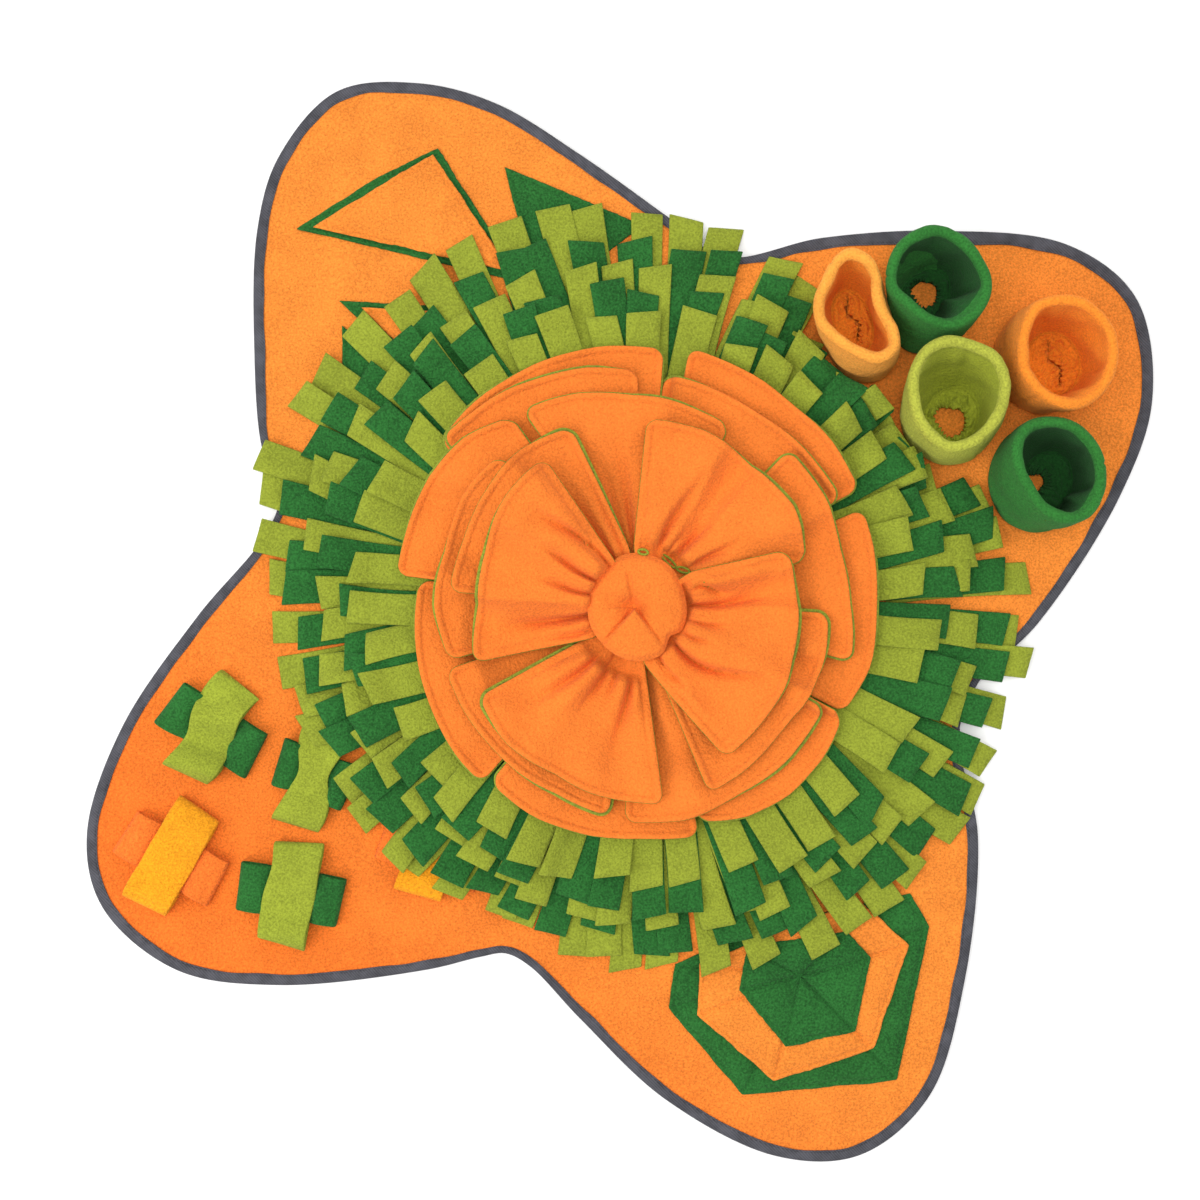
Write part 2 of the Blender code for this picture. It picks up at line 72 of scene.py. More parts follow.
# ---- mat and binding ----
MAT_THICK = 3.0
SEAT = 3.3                  # what is sewn on the mat starts here
EDGE_STEPS = 960
OUTLINE = (
    (-303, 146), (-310, 235), (-307, 335), (-289, 395), (-240, 450), (-170, 457),
    (-105, 440), (-34, 397), (42, 343), (88, 310),
    (172, 326), (270, 332), (380, 320), (438, 275), (452, 190), (425, 108), (355, -1), (304, -52),
    (288, -95), (304, -181), (292, -308), (262, -403), (204, -452), (133, -453),
    (39, -405), (-33, -337), (-76, -292), (-97, -281), (-118, -284),
    (-164, -295), (-290, -308), (-376, -295), (-438, -243), (-452, -182), (-423, -91), (-358, 5),
    (-300, 75), (-288, 110),
)
CURVE_STEPS = 60            # points that the edge's curve is measured at, between two of its anchors
MAT_RINGS = 62              # rings of the mat's grid from its middle to its edge
MAT_INSET = 1.3             # the mat's cut edge, inside the folded tape
RIPPLE = 1.5                # height of the mat's soft unevenness
BINDING_WIDTH = 13.0
NOTCHES = ((88, 310), (304, -52), (-97, -283), (-288, 110))
TAPE_SHARE = 0.72           # width of the tape that shows, next to the model's
TAPE_WIDER = ((290, 330), 190.0, 0.15)      # where more of it shows, how far round, how much
TAPE_DRAWN = 0.24           # how much of it the notches take away
TAPE_REACH = 75.0           # how far from a notch that starts

# ---- flower and fringe ----
FLOWER_X = 17.4
FLOWER_Y = 15.3
FLOWER = (FLOWER_X, FLOWER_Y)
STRIP_WIDTH = 28.5
STRIP_THICK = 1.3
STRIP_STATION = 7.0         # length between two cross lines of a strip
CLOTH_ACROSS = (-0.5, -0.47, -0.3, -0.1, 0.1, 0.3, 0.47, 0.5)      # grid lines, share of a strip's width
# replaced node, root, end, strips, colour
FRINGE = (
    ("fringe_5_lime", 208, 318, 54, "lime"),
    ("fringe_4_green", 196, 297, 50, "green"),
    ("fringe_3_lime", 184, 276, 48, "lime"),
    ("fringe_2_green", 172, 260, 43, "green"),
    ("fringe_1_lime", 160, 241, 39, "lime"),
)

# Petals, the lowest first: number, start and end angle, five outer radii, height of its folds
PETALS = (
    (13, 28, 79, (205, 206, 208, 212, 217), 1.0),
    (15, 85, 141, (212, 217, 218, 217, 214), 1.0),
    (18, 230, 284, (192, 197, 197, 195, 198), 1.0),
    (20, 332, 383, (192, 197, 196, 197, 200), 1.5),
    (12, 28, 84, (185, 186, 184, 187, 191), 1.0),
    (14, 91, 140, (193, 201, 205, 210, 213), 1.0),
    (17, 174, 228, (185, 189, 193, 196, 198), 1.0),
    (19, 285, 331, (187, 198, 200, 199, 192), 1.0),
    (16, 125, 173, (188, 199, 204, 204, 205), 1.5),
    (8, 199, 261, (170, 170, 171, 171, 177), 1.0),
    (11, 266, 330, (180, 182, 177, 177, 174), 1.0),
    (10, 345, 406, (180, 173, 171, 173, 175), 2.0),
    (6, 64, 121, (163, 168, 172, 181, 186), 4.5),
    (9, 134, 196, (167, 172, 168, 170, 166), 1.5),
    (2, 210, 276, (154, 157, 156, 160, 166), 6.0),
    (7, 290, 357, (165, 159, 155, 157, 154), 2.0),
    (4, 15, 88, (140, 147, 144, 151, 151), 5.0),
    (5, 112, 176, (155, 159, 157, 155, 156), 3.0),
    (3, 299, 380, (143, 137, 131, 128, 126), 6.0),
    (1, 124, 199, (142, 139, 134, 133, 145), 6.0),
)
PETAL_THICK = 3.0
PETAL_INNER = 22.0
PETAL_CORNER = 9.0          # radius of its two outer corners
EDGE_LINES = (0.0, 1.2, 2.8, 4.4, 5.3, 6.2, 8.5, 12.0)     # a petal's grid lines next to an edge
STITCH_LINE = 5.3           # topstitching, from the edge
STITCH_DEPTH = 0.9

# ---- cups ----
# Foot where it meets the mat (middle, half sizes, turn), height, colour, middle line of the rolled rim;
# floor: inner edge of the gathered bottom (middle, half length, half width, turn);
# hole: in that bottom (half length, half width, turn, middle);
# folds: in the inner wall (angle, depth, width in degrees; a bulge has a negative depth)
CUPS = rows(("x", "y", "half_long", "half_short", "turn", "top", "colour", "rim", "floor", "hole", "folds"), (
    (203, 243, 40, 28, 110, 73, "cup_peach",
     ((186, 299), (199, 294), (207, 281), (208, 268), (212, 254), (221, 236), (221, 223), (209, 215),
      (193, 220), (176, 231), (163, 245), (161, 261), (168, 278), (176, 293)),
     (197, 254, 28, 17, 108), (19, 1.4, 110, 197, 256), ((60, 3.0, 7), (200, 2.0, 7), (300, 2.0, 7))),
    (264, 263, 38, 28, 50, 75, "cup_green",
     ((241, 314), (257, 318), (275, 310), (289, 294), (296, 278), (293, 261), (283, 248), (267, 242),
      (248, 247), (232, 259), (220, 273), (221, 291), (229, 306)),
     (258, 277, 25, 20, 50), (12.5, 10, -45, 257, 278), ((155, 4.0, 8), (316, -13.0, 24), (350, 4.0, 7))),
    (356, 221, 42, 38, 95, 75, "cup_orange",
     ((338, 256), (353, 261), (371, 259), (387, 249), (397, 231), (397, 208), (388, 189), (370, 178),
      (352, 180), (337, 191), (327, 207), (326, 226), (330, 243)),
     (366, 218, 28, 24, 100), (19, 1.4, 112, 367, 218), ((345, 3.5, 7), (110, 2.0, 7), (292, -6.0, 20))),
    (279, 178, 43, 39, 80, 75, "cup_lime",
     ((250, 222), (266, 228), (285, 224), (303, 214), (311, 196), (309, 177), (299, 159), (285, 147),
      (266, 143), (250, 154), (240, 172), (237, 193), (241, 210)),
     (280, 173, 27, 23, 60), (14, 11.5, -40, 279, 170), ((75, 3.5, 7), (200, 2.5, 7), (330, 2.5, 7))),
    (351, 120, 42, 37, 85, 75, "cup_green",
     ((331, 159), (346, 163), (366, 159), (381, 145), (388, 128), (387, 107), (378, 90), (360, 85),
      (343, 93), (331, 108), (322, 126), (321, 144)),
     (361, 118, 27, 22, 75), (9, 8, 10, 350, 118),
     ((312, -9.0, 20), (338, 4.0, 7), (150, 3.0, 7), (40, 2.0, 7))),
))
CUP_FLOOR = 8.0             # height of the gathered bottom
CUP_ROLL = 4.6              # half width of the rolled rim
CUP_STEPS = 180
CUP_CLEAR = 6.0             # room that the fringe leaves round a foot

# ---- flaps, web patch and crossed loops ----
SHEET = 1.8                 # thickness of a flap or of a piece of the web
FLAPS = (
    ("flap_1_green", "green", ((-273, 333), (-82, 288), (-154, 401), (-208, 374))),
    ("flap_1_orange", "orange", ((-259, 334), (-92, 297), (-158, 395))),
    ("flap_2_green", "green", ((-97, 385), (-68, 272), (20, 336))),
    ("flap_3_green", "green", ((-237, 272), (-160, 200), (-130, 266))),
    ("flap_3_orange", "orange", ((-218, 266), (-163, 212), (-140, 261))),
    ("flap_4_green", "green", ((-235, 251), (-234, 165), (-172, 196))),
)
WEB_HUB = (152, -298)
WEB = (
    ("web_1_green", "green",
     ((262, -258), (235, -388), (104, -400), (42, -327), (47, -290), (128, -256), (246, -230))),
    ("web_2_orange", "orange",
     ((244, -273), (214, -360), (130, -387), (66, -332), (68, -289), (202, -235))),
    ("web_3_green", "green",
     ((211, -283), (198, -344), (140, -357), (101, -310), (108, -273), (191, -261))),
)
# hidden: partly under the fringe
CROSSES = rows(("name", "x", "y", "turn", "upper_length", "lower_length", "hidden", "upper", "lower"), (
    ("a", -343.5, -90.5, 58, 91, 89, False, "loop_lime", "green"),
    ("b", -257.7, -128.9, 69, 94, 68, True, "loop_lime", "green"),
    ("c", -378.0, -198.6, 60, 97, 93, False, "amber", "red_orange"),
    ("d", -278.0, -228.8, 80, 89, 90, False, "loop_lime", "green"),
    ("e", -158.0, -194.0, 70, 80, 92, True, "amber", "red_orange"),
))
# How each loop bends: pinch at its middle, sideways sway, curl of its corners, wave along it and
# slant of its ends
BENDS = {
    "loop_a_upper": (0.0, 4.0, 1.2, 4.8, 5.0), "loop_a_lower": (0.0, 0.0, 3.0, 0.8, -4.0),
    "loop_b_upper": (0.38, 3.0, 1.0, 2.2, 3.0), "loop_b_lower": (0.15, 0.0, 2.5, 0.6, 3.0),
    "loop_c_upper": (0.0, 0.0, 0.6, 0.4, 3.0), "loop_c_lower": (0.0, 0.0, 0.8, 0.4, -2.0),
    "loop_d_upper": (-0.04, -1.0, 1.5, 2.0, -5.0), "loop_d_lower": (0.12, 0.0, 2.6, 0.5, 2.0),
    "loop_e_upper": (0.0, 0.0, 0.5, 0.4, 3.0), "loop_e_lower": (0.0, 0.0, 0.5, 0.3, 0.0),
}
LOOP_WIDTH = 41.0
LOOP_THICK = 2.0
LOOP_BASE = 1.1             # level that a flatter loop keeps
HIDDEN_HEIGHT = 0.75        # height and thickness of the loops partly under the fringe, next to the others'
HIDDEN_THICK = 0.8
# Middle line of the cloth in half a loop, seen from the side (share of the half length, height)
LOWER_PATH = ((0, 3.4), (0.4, 3.9), (0.56, 8.2), (0.72, 9.8), (0.88, 8.4), (0.98, 5.2), (0.97, 2.4),
              (0.88, 1.1), (0.6, 1.0), (0.42, 1.1), (0, 1.1))
UPPER_PATH = ((0, 8.6), (0.4, 9.0), (0.56, 10.6), (0.75, 10.8), (0.9, 8.6), (0.985, 5.0), (0.97, 2.4),
              (0.88, 1.1), (0.68, 1.0), (0.5, 4.0), (0.42, 6.1), (0, 6.2))

# ---- colours (linear) ----
COLOURS = {
    "orange": (0.836, 0.242, 0.033),
    "red_orange": (0.836, 0.172, 0.023),
    "petal": (0.836, 0.198, 0.028),
    "cup_peach": (0.871, 0.352, 0.053),
    "cup_orange": (0.862, 0.255, 0.026),
    "cup_lime": (0.405, 0.431, 0.055),
    "cup_green": (0.03, 0.176, 0.029),
    "amber": (0.836, 0.317, 0.011),
    "lime": (0.264, 0.312, 0.03),
    "loop_lime": (0.29, 0.343, 0.032),
    "green": (0.021, 0.128, 0.024),
    "binding": (0.055, 0.055, 0.065),
}
# Painted light and shade: for the cloth inside each cup, a copy of its outer colour tuned lighter for the
# orange cup and darker for the peach, lime and green cups, to stand for the light and shade in the hollow
PAINTED_LIGHT_INSIDES = {
    "cup_peach": (0.876, 0.29, 0.025),
    "cup_orange": (0.876, 0.273, 0.023),
    "cup_lime": (0.37, 0.414, 0.035),
    "cup_green": (0.016, 0.092, 0.018),
}
MOTTLE = 0.28               # how much the tone varies over most cloths
MOTTLES = {"green": 0.45, "petal": 0.18, "cup_peach": 0.2, "cup_orange": 0.2}
INSIDE_MOTTLE = 0.2
NAP_TINT = (1.0, 0.68, 0.58)    # share of each channel that the lower left lobe's brushed nap keeps
NAP_FROM = 0.05             # metres from the middle towards that lobe where it starts, and where it is full
NAP_TO = 0.42
NAP_SHARE = 0.9             # how much of the tint it has there
SLOTS = {
    "orange": "mat_fleece", "red_orange": "mat_fleece", "cup_orange": "mat_fleece",
    "petal": "petal_fleece", "cup_peach": "peach_fleece", "amber": "amber_fleece",
    "lime": "lime_fleece", "loop_lime": "lime_fleece", "cup_lime": "lime_fleece",
    "green": "green_fleece", "cup_green": "green_fleece",
}


# ---- laying cloth on what is below it ----

GROUND_CELL = 1.5           # the height grid's spacing
GROUND_HALF = 480.0
REFINE = 5                  # samples of the ground between two points of a cloth


class Ground:
    """Height of the highest cloth so far, on a square grid round the origin."""

    def __init__(self):
        self.count = int(2 * GROUND_HALF / GROUND_CELL) + 1
        self.height = np.zeros((self.count, self.count))

    def cells(self, x, y):
        i = np.clip(((x + GROUND_HALF) / GROUND_CELL).astype(int), 1, self.count - 2)
        j = np.clip(((y + GROUND_HALF) / GROUND_CELL).astype(int), 1, self.count - 2)
        return i, j

    def under(self, x, y):
        """Greatest height in the nine cells round each point."""
        i, j = self.cells(x, y)
        near = [self.height[i + a, j + b] for a in (-1, 0, 1) for b in (-1, 0, 1)]
        return np.max(near, axis=0)

    def cover(self, x, y, z, steps=REFINE + 2):
        """Lays a grid of points on the ground as the new top."""
        i, j = self.cells(refine(x, steps), refine(y, steps))
        np.maximum.at(self.height, (i, j), refine(z, steps))


def refine(values, steps):
    """Values between the points of a grid, steps times as many along both sides."""
    n, m = values.shape
    along = np.linspace(0, n - 1, (n - 1) * steps + 1)
    across = np.linspace(0, m - 1, (m - 1) * steps + 1)
    i = np.minimum(along.astype(int), n - 2)
    j = np.minimum(across.astype(int), m - 2)
    u = (along - i)[:, None]
    v = (across - j)[None, :]
    near = values[np.ix_(i, j)] * (1 - v) + values[np.ix_(i, j + 1)] * v
    far = values[np.ix_(i + 1, j)] * (1 - v) + values[np.ix_(i + 1, j + 1)] * v
    return near * (1 - u) + far * u


def smooth_grid(values, passes, floor=None):
    """Neighbours' mean, again and again; with a floor, never below it."""
    for _ in range(passes):
        wide = np.pad(values, 1, mode="edge")
        values = (wide[:-2, 1:-1] + wide[2:, 1:-1] + wide[1:-1, :-2] + wide[1:-1, 2:]) / 4
        if floor is not None:
            values = np.maximum(values, floor)
    return values


def settle(ground, x, y, gap, passes, steps=REFINE):
    """Height at which a grid of points lies on the ground, bridging its hollows as stiff cloth does."""
    below = ground.under(refine(x, steps), refine(y, steps))
    n, m = x.shape
    cells = np.full((n + 1, m + 1), -1.0)
    for a in range(steps + 1):
        for b in range(steps + 1):
            part = below[a::steps, b::steps][:n - 1, :m - 1]
            cells[1:n, 1:m] = np.maximum(cells[1:n, 1:m], part)
    floor = gap + np.max([cells[:-1, :-1], cells[1:, :-1], cells[:-1, 1:], cells[1:, 1:]], axis=0)
    return smooth_grid(floor, passes, floor)


# ---- meshes ----

class Skin:
    """Points and faces of one mesh, gathered from grids."""

    def __init__(self):
        self.points = []
        self.faces = []
        self.slots = []
        self.count = 0

    def add_points(self, x, y, z):
        """Adds a grid or a row of points and returns their numbers in the same shape."""
        stack = np.stack([np.asarray(values, float).ravel() for values in (x, y, z)], axis=1)
        ids = np.arange(self.count, self.count + len(stack)).reshape(np.shape(x))
        self.points.append(stack)
        self.count += len(stack)
        return ids

    def add_quads(self, a, b, c, d, slot):
        quads = np.stack([a.ravel(), b.ravel(), c.ravel(), d.ravel()], axis=1)
        self.faces.append(quads)
        self.slots.append(np.full(len(quads), slot))

    def add_grid(self, ids, slot=0, flip=False):
        if flip:
            ids = ids[::-1]
        self.add_quads(ids[:-1, :-1], ids[1:, :-1], ids[1:, 1:], ids[:-1, 1:], slot)

    def add_cap(self, ring, x, y, z):
        """Closes a ring of points with triangles to a point in its middle."""
        middle = self.add_points([x], [y], [float(z)])
        triangles = np.stack([ring, np.roll(ring, -1), np.full(len(ring), middle[0])], axis=1)
        self.faces.append(triangles)
        self.slots.append(np.zeros(len(triangles), int))

    def add_tube(self, ids, along=False):
        """Rows of points joined into rings; with along, the last row meets the first too."""
        ids = looped(ids, 1)
        if along:
            ids = looped(ids, 0)
        self.add_grid(ids)

    def finish(self, name, materials, nodes=()):
        points = np.concatenate(self.points) * MM
        mesh = bpy.data.meshes.new(name)
        faces = [face for group in self.faces for face in group.tolist()]
        mesh.from_pydata(points.tolist(), [], faces)
        mesh.polygons.foreach_set("material_index", np.concatenate(self.slots).astype(np.int32))
        for material in materials:
            mesh.materials.append(material)
        solid = bmesh.new()
        solid.from_mesh(mesh)
        bmesh.ops.recalc_face_normals(solid, faces=solid.faces)
        solid.to_mesh(mesh)
        solid.free()
        mesh.shade_smooth()
        piece = bpy.data.objects.new(name, mesh)
        bpy.context.scene.collection.objects.link(piece)
        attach(piece, BODY)
        if nodes:
            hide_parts(*nodes)
        return piece


def border(ids):
    """A grid's outer points, once round."""
    return np.concatenate([ids[:-1, 0], ids[-1, :-1], ids[:0:-1, -1], ids[0, :0:-1]])


def outward(x, y):
    """Unit vectors out of a closed outline, whichever way it runs."""
    dx = np.roll(x, -1) - np.roll(x, 1)
    dy = np.roll(y, -1) - np.roll(y, 1)
    size = np.maximum(np.hypot(dx, dy), 1e-9)
    turn = np.sign(np.sum(x * np.roll(y, -1) - np.roll(x, -1) * y))
    return turn * dy / size, -turn * dx / size


def add_slab(skin, x, y, low, high, rails, low_slot=0):
    """Closed cloth between two height grids; rails are (outset, share of thickness, slot) down its edge."""
    top = skin.add_points(x, y, high)
    bottom = skin.add_points(x, y, low)
    skin.add_grid(top)
    skin.add_grid(bottom, low_slot, flip=True)
    edge_x, edge_y = border(x), border(y)
    edge_low, edge_high = border(low), border(high)
    nx, ny = outward(edge_x, edge_y)
    above = border(top)
    for outset, share, slot in rails:
        height = edge_low + (edge_high - edge_low) * share
        ring = skin.add_points(edge_x + nx * outset, edge_y + ny * outset, height)
        skin.add_quads(above, np.roll(above, -1), np.roll(ring, -1), ring, slot)
        above = ring
    below = border(bottom)
    skin.add_quads(above, np.roll(above, -1), np.roll(below, -1), below, low_slot)


# ---- smooth shapes ----

def waves(x, y, seed, size, count=7):
    """Smooth unevenness of about -1 to 1, with hills about as far apart as size."""
    draw = random.Random(seed)
    total = np.zeros(np.shape(x))
    for _ in range(count):
        turn = draw.uniform(0, 2 * math.pi)
        length = size * draw.uniform(0.7, 1.5)
        phase = draw.uniform(0, 2 * math.pi)
        total = total + np.sin((x * math.cos(turn) + y * math.sin(turn)) * 2 * math.pi / length + phase)
    return total / math.sqrt(2 * count)


def ease(values):
    """0 to 1, leaving and arriving smoothly."""
    t = np.clip(values, 0, 1)
    return t * t * (3 - 2 * t)


def smooth_closed(anchors, steps, dense_steps=CURVE_STEPS):
    """Evenly spaced points on a smooth closed curve through its anchors, as two arrays."""
    points = [Vector(anchor) for anchor in anchors]
    count = len(points)
    dense = []
    for i in range(count):
        before, start, end, after = (points[(i + k) % count] for k in (-1, 0, 1, 2))
        knots = [0.0]
        for a, b in ((before, start), (start, end), (end, after)):
            knots.append(knots[-1] + math.sqrt((b - a).length))
        for k in range(dense_steps):
            t = knots[1] + (knots[2] - knots[1]) * k / dense_steps
            first = before.lerp(start, (t - knots[0]) / (knots[1] - knots[0]))
            second = start.lerp(end, (t - knots[1]) / (knots[2] - knots[1]))
            third = end.lerp(after, (t - knots[2]) / (knots[3] - knots[2]))
            left = first.lerp(second, (t - knots[0]) / (knots[2] - knots[0]))
            right = second.lerp(third, (t - knots[1]) / (knots[3] - knots[1]))
            dense.append(left.lerp(right, (t - knots[1]) / (knots[2] - knots[1])))
    dense.append(dense[0])
    x = np.array([point.x for point in dense])
    y = np.array([point.y for point in dense])
    lengths = lengths_along(x, y)
    at = np.linspace(0, lengths[-1], steps, endpoint=False)
    return np.interp(at, lengths, x), np.interp(at, lengths, y)


def polar_radius(x, y, centre, angles):
    """Radius of an outline round a centre at the given angles (radians)."""
    turn = np.arctan2(y - centre[1], x - centre[0])
    reach = np.hypot(x - centre[0], y - centre[1])
    order = np.argsort(turn)
    turn, reach = turn[order], reach[order]
    turn = np.concatenate([turn - 2 * math.pi, turn, turn + 2 * math.pi])
    reach = np.concatenate([reach] * 3)
    return np.interp((angles + math.pi) % (2 * math.pi) - math.pi, turn, reach)


def lengths_along(x, y):
    """Length of a line of points up to each of them."""
    return np.concatenate([[0], np.cumsum(np.hypot(np.diff(x), np.diff(y)))])


def placed(middle, turn, along, across):
    """Points given along and across a piece, turned by an angle (radians) and moved to its middle."""
    c, s = math.cos(turn), math.sin(turn)
    return middle[0] + along * c - across * s, middle[1] + along * s + across * c


def looped(grid, axis):
    """A grid with its first row or column again at its end."""
    return np.concatenate([grid, np.take(grid, [0], axis=axis)], axis=axis)


# ---- materials ----

TUFT_SCALE = 560.0          # fleece's pile, waves per metre
NUB_SCALE = 270.0
CLOUD_SCALE = 26.0
PILE_DEPTH = 0.0016         # metres
PILE_STRENGTH = 0.9
CLOUD_SHARE = 0.26          # share of the tone that changes slowly
RIB_SCALE = 240
RIB_DEPTH = 0.0004          # metres
WEAR_SCALE = 90
TONE_FROM = 0.38            # noise at which the tone is darkest, and at which it is lightest
TONE_TO = 0.62
NUB_SHARE = 0.9             # height of the nubs next to the tufts'
SHEEN = 0.12


def new_material(name, roughness, specular):
    """A new material and its shader."""
    material = bpy.data.materials.new(name)
    material.use_nodes = True
    shader = material.node_tree.nodes["Principled BSDF"]
    fill(material, shader, {"Roughness": roughness, "Specular IOR Level": specular})
    return material, shader


def fill(material, node, inputs):
    """Sets a node's inputs: a value, or a link from another node's output."""
    for name, value in inputs.items():
        if isinstance(value, bpy.types.NodeSocket):
            material.node_tree.links.new(value, node.inputs[name])
        else:
            node.inputs[name].default_value = value


def multiply_add(material, first, share, second=0.0):
    """A share of one value and the whole of another."""
    node = material.node_tree.nodes.new("ShaderNodeMath")
    node.operation = "MULTIPLY_ADD"
    fill(material, node, {0: first, 1: share, 2: second})
    return node.outputs[0]


def colour_ramp(material, value, dark_at, dark, light_at, light):
    """A dark and a light colour where a value is small and where it is great."""
    ramp = material.node_tree.nodes.new("ShaderNodeValToRGB")
    low, high = ramp.color_ramp.elements
    low.position, high.position = dark_at, light_at
    low.color, high.color = (*dark, 1), (*light, 1)
    fill(material, ramp, {"Fac": value})
    return ramp.outputs["Color"]


def add_bump(material, shader, height, strength, depth):
    bump = material.node_tree.nodes.new("ShaderNodeBump")
    fill(material, bump, {"Strength": strength, "Distance": depth, "Height": height})
    fill(material, shader, {"Normal": bump.outputs["Normal"]})


def turn_nap(material, place, tone, tint):
    """Tints a tone more and more along the mat's diagonal, as brushed nap does."""
    nodes = material.node_tree.nodes
    split = nodes.new("ShaderNodeSeparateXYZ")
    fill(material, split, {0: place})
    diagonal = nodes.new("ShaderNodeMath")
    diagonal.operation = "ADD"
    fill(material, diagonal, {0: split.outputs["X"], 1: split.outputs["Y"]})
    share = nodes.new("ShaderNodeMapRange")
    share.interpolation_type = "SMOOTHSTEP"
    fill(material, share, {"From Min": -NAP_FROM * math.sqrt(2), "From Max": -NAP_TO * math.sqrt(2),
                           "To Min": 0.0, "To Max": NAP_SHARE, "Value": diagonal.outputs[0]})
    mix = nodes.new("ShaderNodeMix")
    mix.data_type = "RGBA"
    mix.blend_type = "MULTIPLY"
    fill(material, mix, {"Factor": share.outputs["Result"], "A": tone, "B": (*tint, 1)})
    return mix.outputs["Result"]


def fleece(name, colour, mottle=MOTTLE, tint=None):
    """Brushed fleece: nubby uneven pile, slow change of tone and a soft sheen."""
    material, shader = new_material(name, 0.95, 0.1)
    nodes = material.node_tree.nodes
    place = nodes.new("ShaderNodeTexCoord").outputs["Object"]

    def noise(scale, detail, rough):
        node = nodes.new("ShaderNodeTexNoise")
        fill(material, node, {"Scale": scale, "Detail": detail, "Roughness": rough, "Vector": place})
        return node.outputs["Fac"]

    tufts = noise(TUFT_SCALE, 3, 0.6)
    clouds = multiply_add(material, noise(CLOUD_SCALE, 3, 0.55), CLOUD_SHARE)
    blend = multiply_add(material, tufts, 1 - CLOUD_SHARE, clouds)
    dark = [channel * (1 - mottle) for channel in colour]
    light = [min(1.0, channel * (1 + 0.6 * mottle)) for channel in colour]
    tone = colour_ramp(material, blend, TONE_FROM, dark, TONE_TO, light)
    if tint is not None:
        tone = turn_nap(material, place, tone, tint)
    nubs = multiply_add(material, noise(NUB_SCALE, 2, 0.5), NUB_SHARE)
    height = multiply_add(material, tufts, 1.0, nubs)
    add_bump(material, shader, height, PILE_STRENGTH, PILE_DEPTH)
    sheen = [min(1.0, 0.3 + channel) for channel in colour]
    fill(material, shader, {"Base Color": tone, "Sheen Weight": SHEEN, "Sheen Roughness": 0.6,
                            "Sheen Tint": (*sheen, 1)})
    return material


def twill(name, colour):
    """Woven tape: fine diagonal ribs and a faint sheen."""
    material, shader = new_material(name, 0.8, 0.3)
    nodes = material.node_tree.nodes
    place = nodes.new("ShaderNodeTexCoord").outputs["Object"]
    ribs = nodes.new("ShaderNodeTexWave")
    ribs.wave_type = "BANDS"
    ribs.bands_direction = "DIAGONAL"
    fill(material, ribs, {"Scale": RIB_SCALE, "Distortion": 1.5, "Detail": 2, "Vector": place})
    wear = nodes.new("ShaderNodeTexNoise")
    fill(material, wear, {"Scale": WEAR_SCALE, "Detail": 5, "Vector": place})
    mean = multiply_add(material, ribs.outputs["Fac"], 0.35, wear.outputs["Fac"])
    dark = [channel * 0.6 for channel in colour]
    light = [channel * 1.6 for channel in colour]
    fill(material, shader, {"Base Color": colour_ramp(material, mean, 0.35, dark, 0.95, light)})
    add_bump(material, shader, ribs.outputs["Fac"], 0.5, RIB_DEPTH)
    return material


# ---- mat and binding ----

RIM_LINES = (0.0, 3.0, 5.0, 7.0, 9.0, 12.0)       # the mat's grid lines from its cut edge
MAT_LIFT = 1.15             # underside of its rim, over the folded tape
MAT_FLOOR = 0.02            # nothing of it is lower
MAT_HALF = 300.0            # about from its middle to a notch, which its grid's inner lines share out
RIPPLE_START = 45.0         # width over which its unevenness sets in


def outline_at(inset, steps):
    """The mat's outline, drawn in by a distance."""
    x, y = smooth_closed(OUTLINE, steps)
    nx, ny = outward(x, y)
    return x - nx * inset, y - ny * inset


def ripple(x, y):
    """Soft unevenness of the mat lying on the floor, in millimetres."""
    broad = waves(x, y, "mat", 170) + 0.35 * waves(x, y, "mat fine", 60)
    creased = ease(0.3 + waves(x, y, "creased", 190))
    fine = 0.42 * waves(x, y, "mat creases", 34) + 0.2 * waves(x, y, "mat dimples", 21)
    return RIPPLE * np.clip(0.75 + 0.6 * broad + creased * fine, 0, None)


def make_mat(ground, paint):
    """Two layers of fleece, thin at the rim that the tape is folded round."""
    steps = EDGE_STEPS // 2
    columns = [outline_at(MAT_INSET + line, steps) for line in RIM_LINES]
    shares = np.linspace(1, 0, MAT_RINGS, endpoint=False)[1:]
    x, y = [np.stack([column[k] for column in columns] + [columns[-1][k] * share for share in shares])
            for k in (0, 1)]
    lines = np.concatenate([RIM_LINES, RIM_LINES[-1] + (1 - shares) * MAT_HALF])[:, None]
    rippled = ripple(x, y) * ease((lines - RIM_LINES[-1]) / RIPPLE_START)
    low = np.maximum(rippled, MAT_LIFT * (1 - ease((lines - RIM_LINES[-3]) / 3)))
    high = low + MAT_THICK
    high[0] = MAT_LIFT + MAT_THICK / 2
    high[1:4] = MAT_THICK + 0.1
    low[low < MAT_FLOOR] = MAT_FLOOR
    skin = Skin()
    top = skin.add_points(x, y, high)
    bottom = skin.add_points(x, y, low)
    skin.add_tube(top)
    skin.add_tube(bottom)
    skin.add_tube(np.stack([top[0], bottom[0]]))
    for rings, heights in ((top, high), (bottom, low)):
        skin.add_cap(rings[-1], 0.0, 0.0, heights[-1].mean())
    ground.cover(*[looped(grid, 1) for grid in (x, y, high)], steps=8)
    piece = skin.finish("mat_cloth", [paint["mat"]], ["mat"])


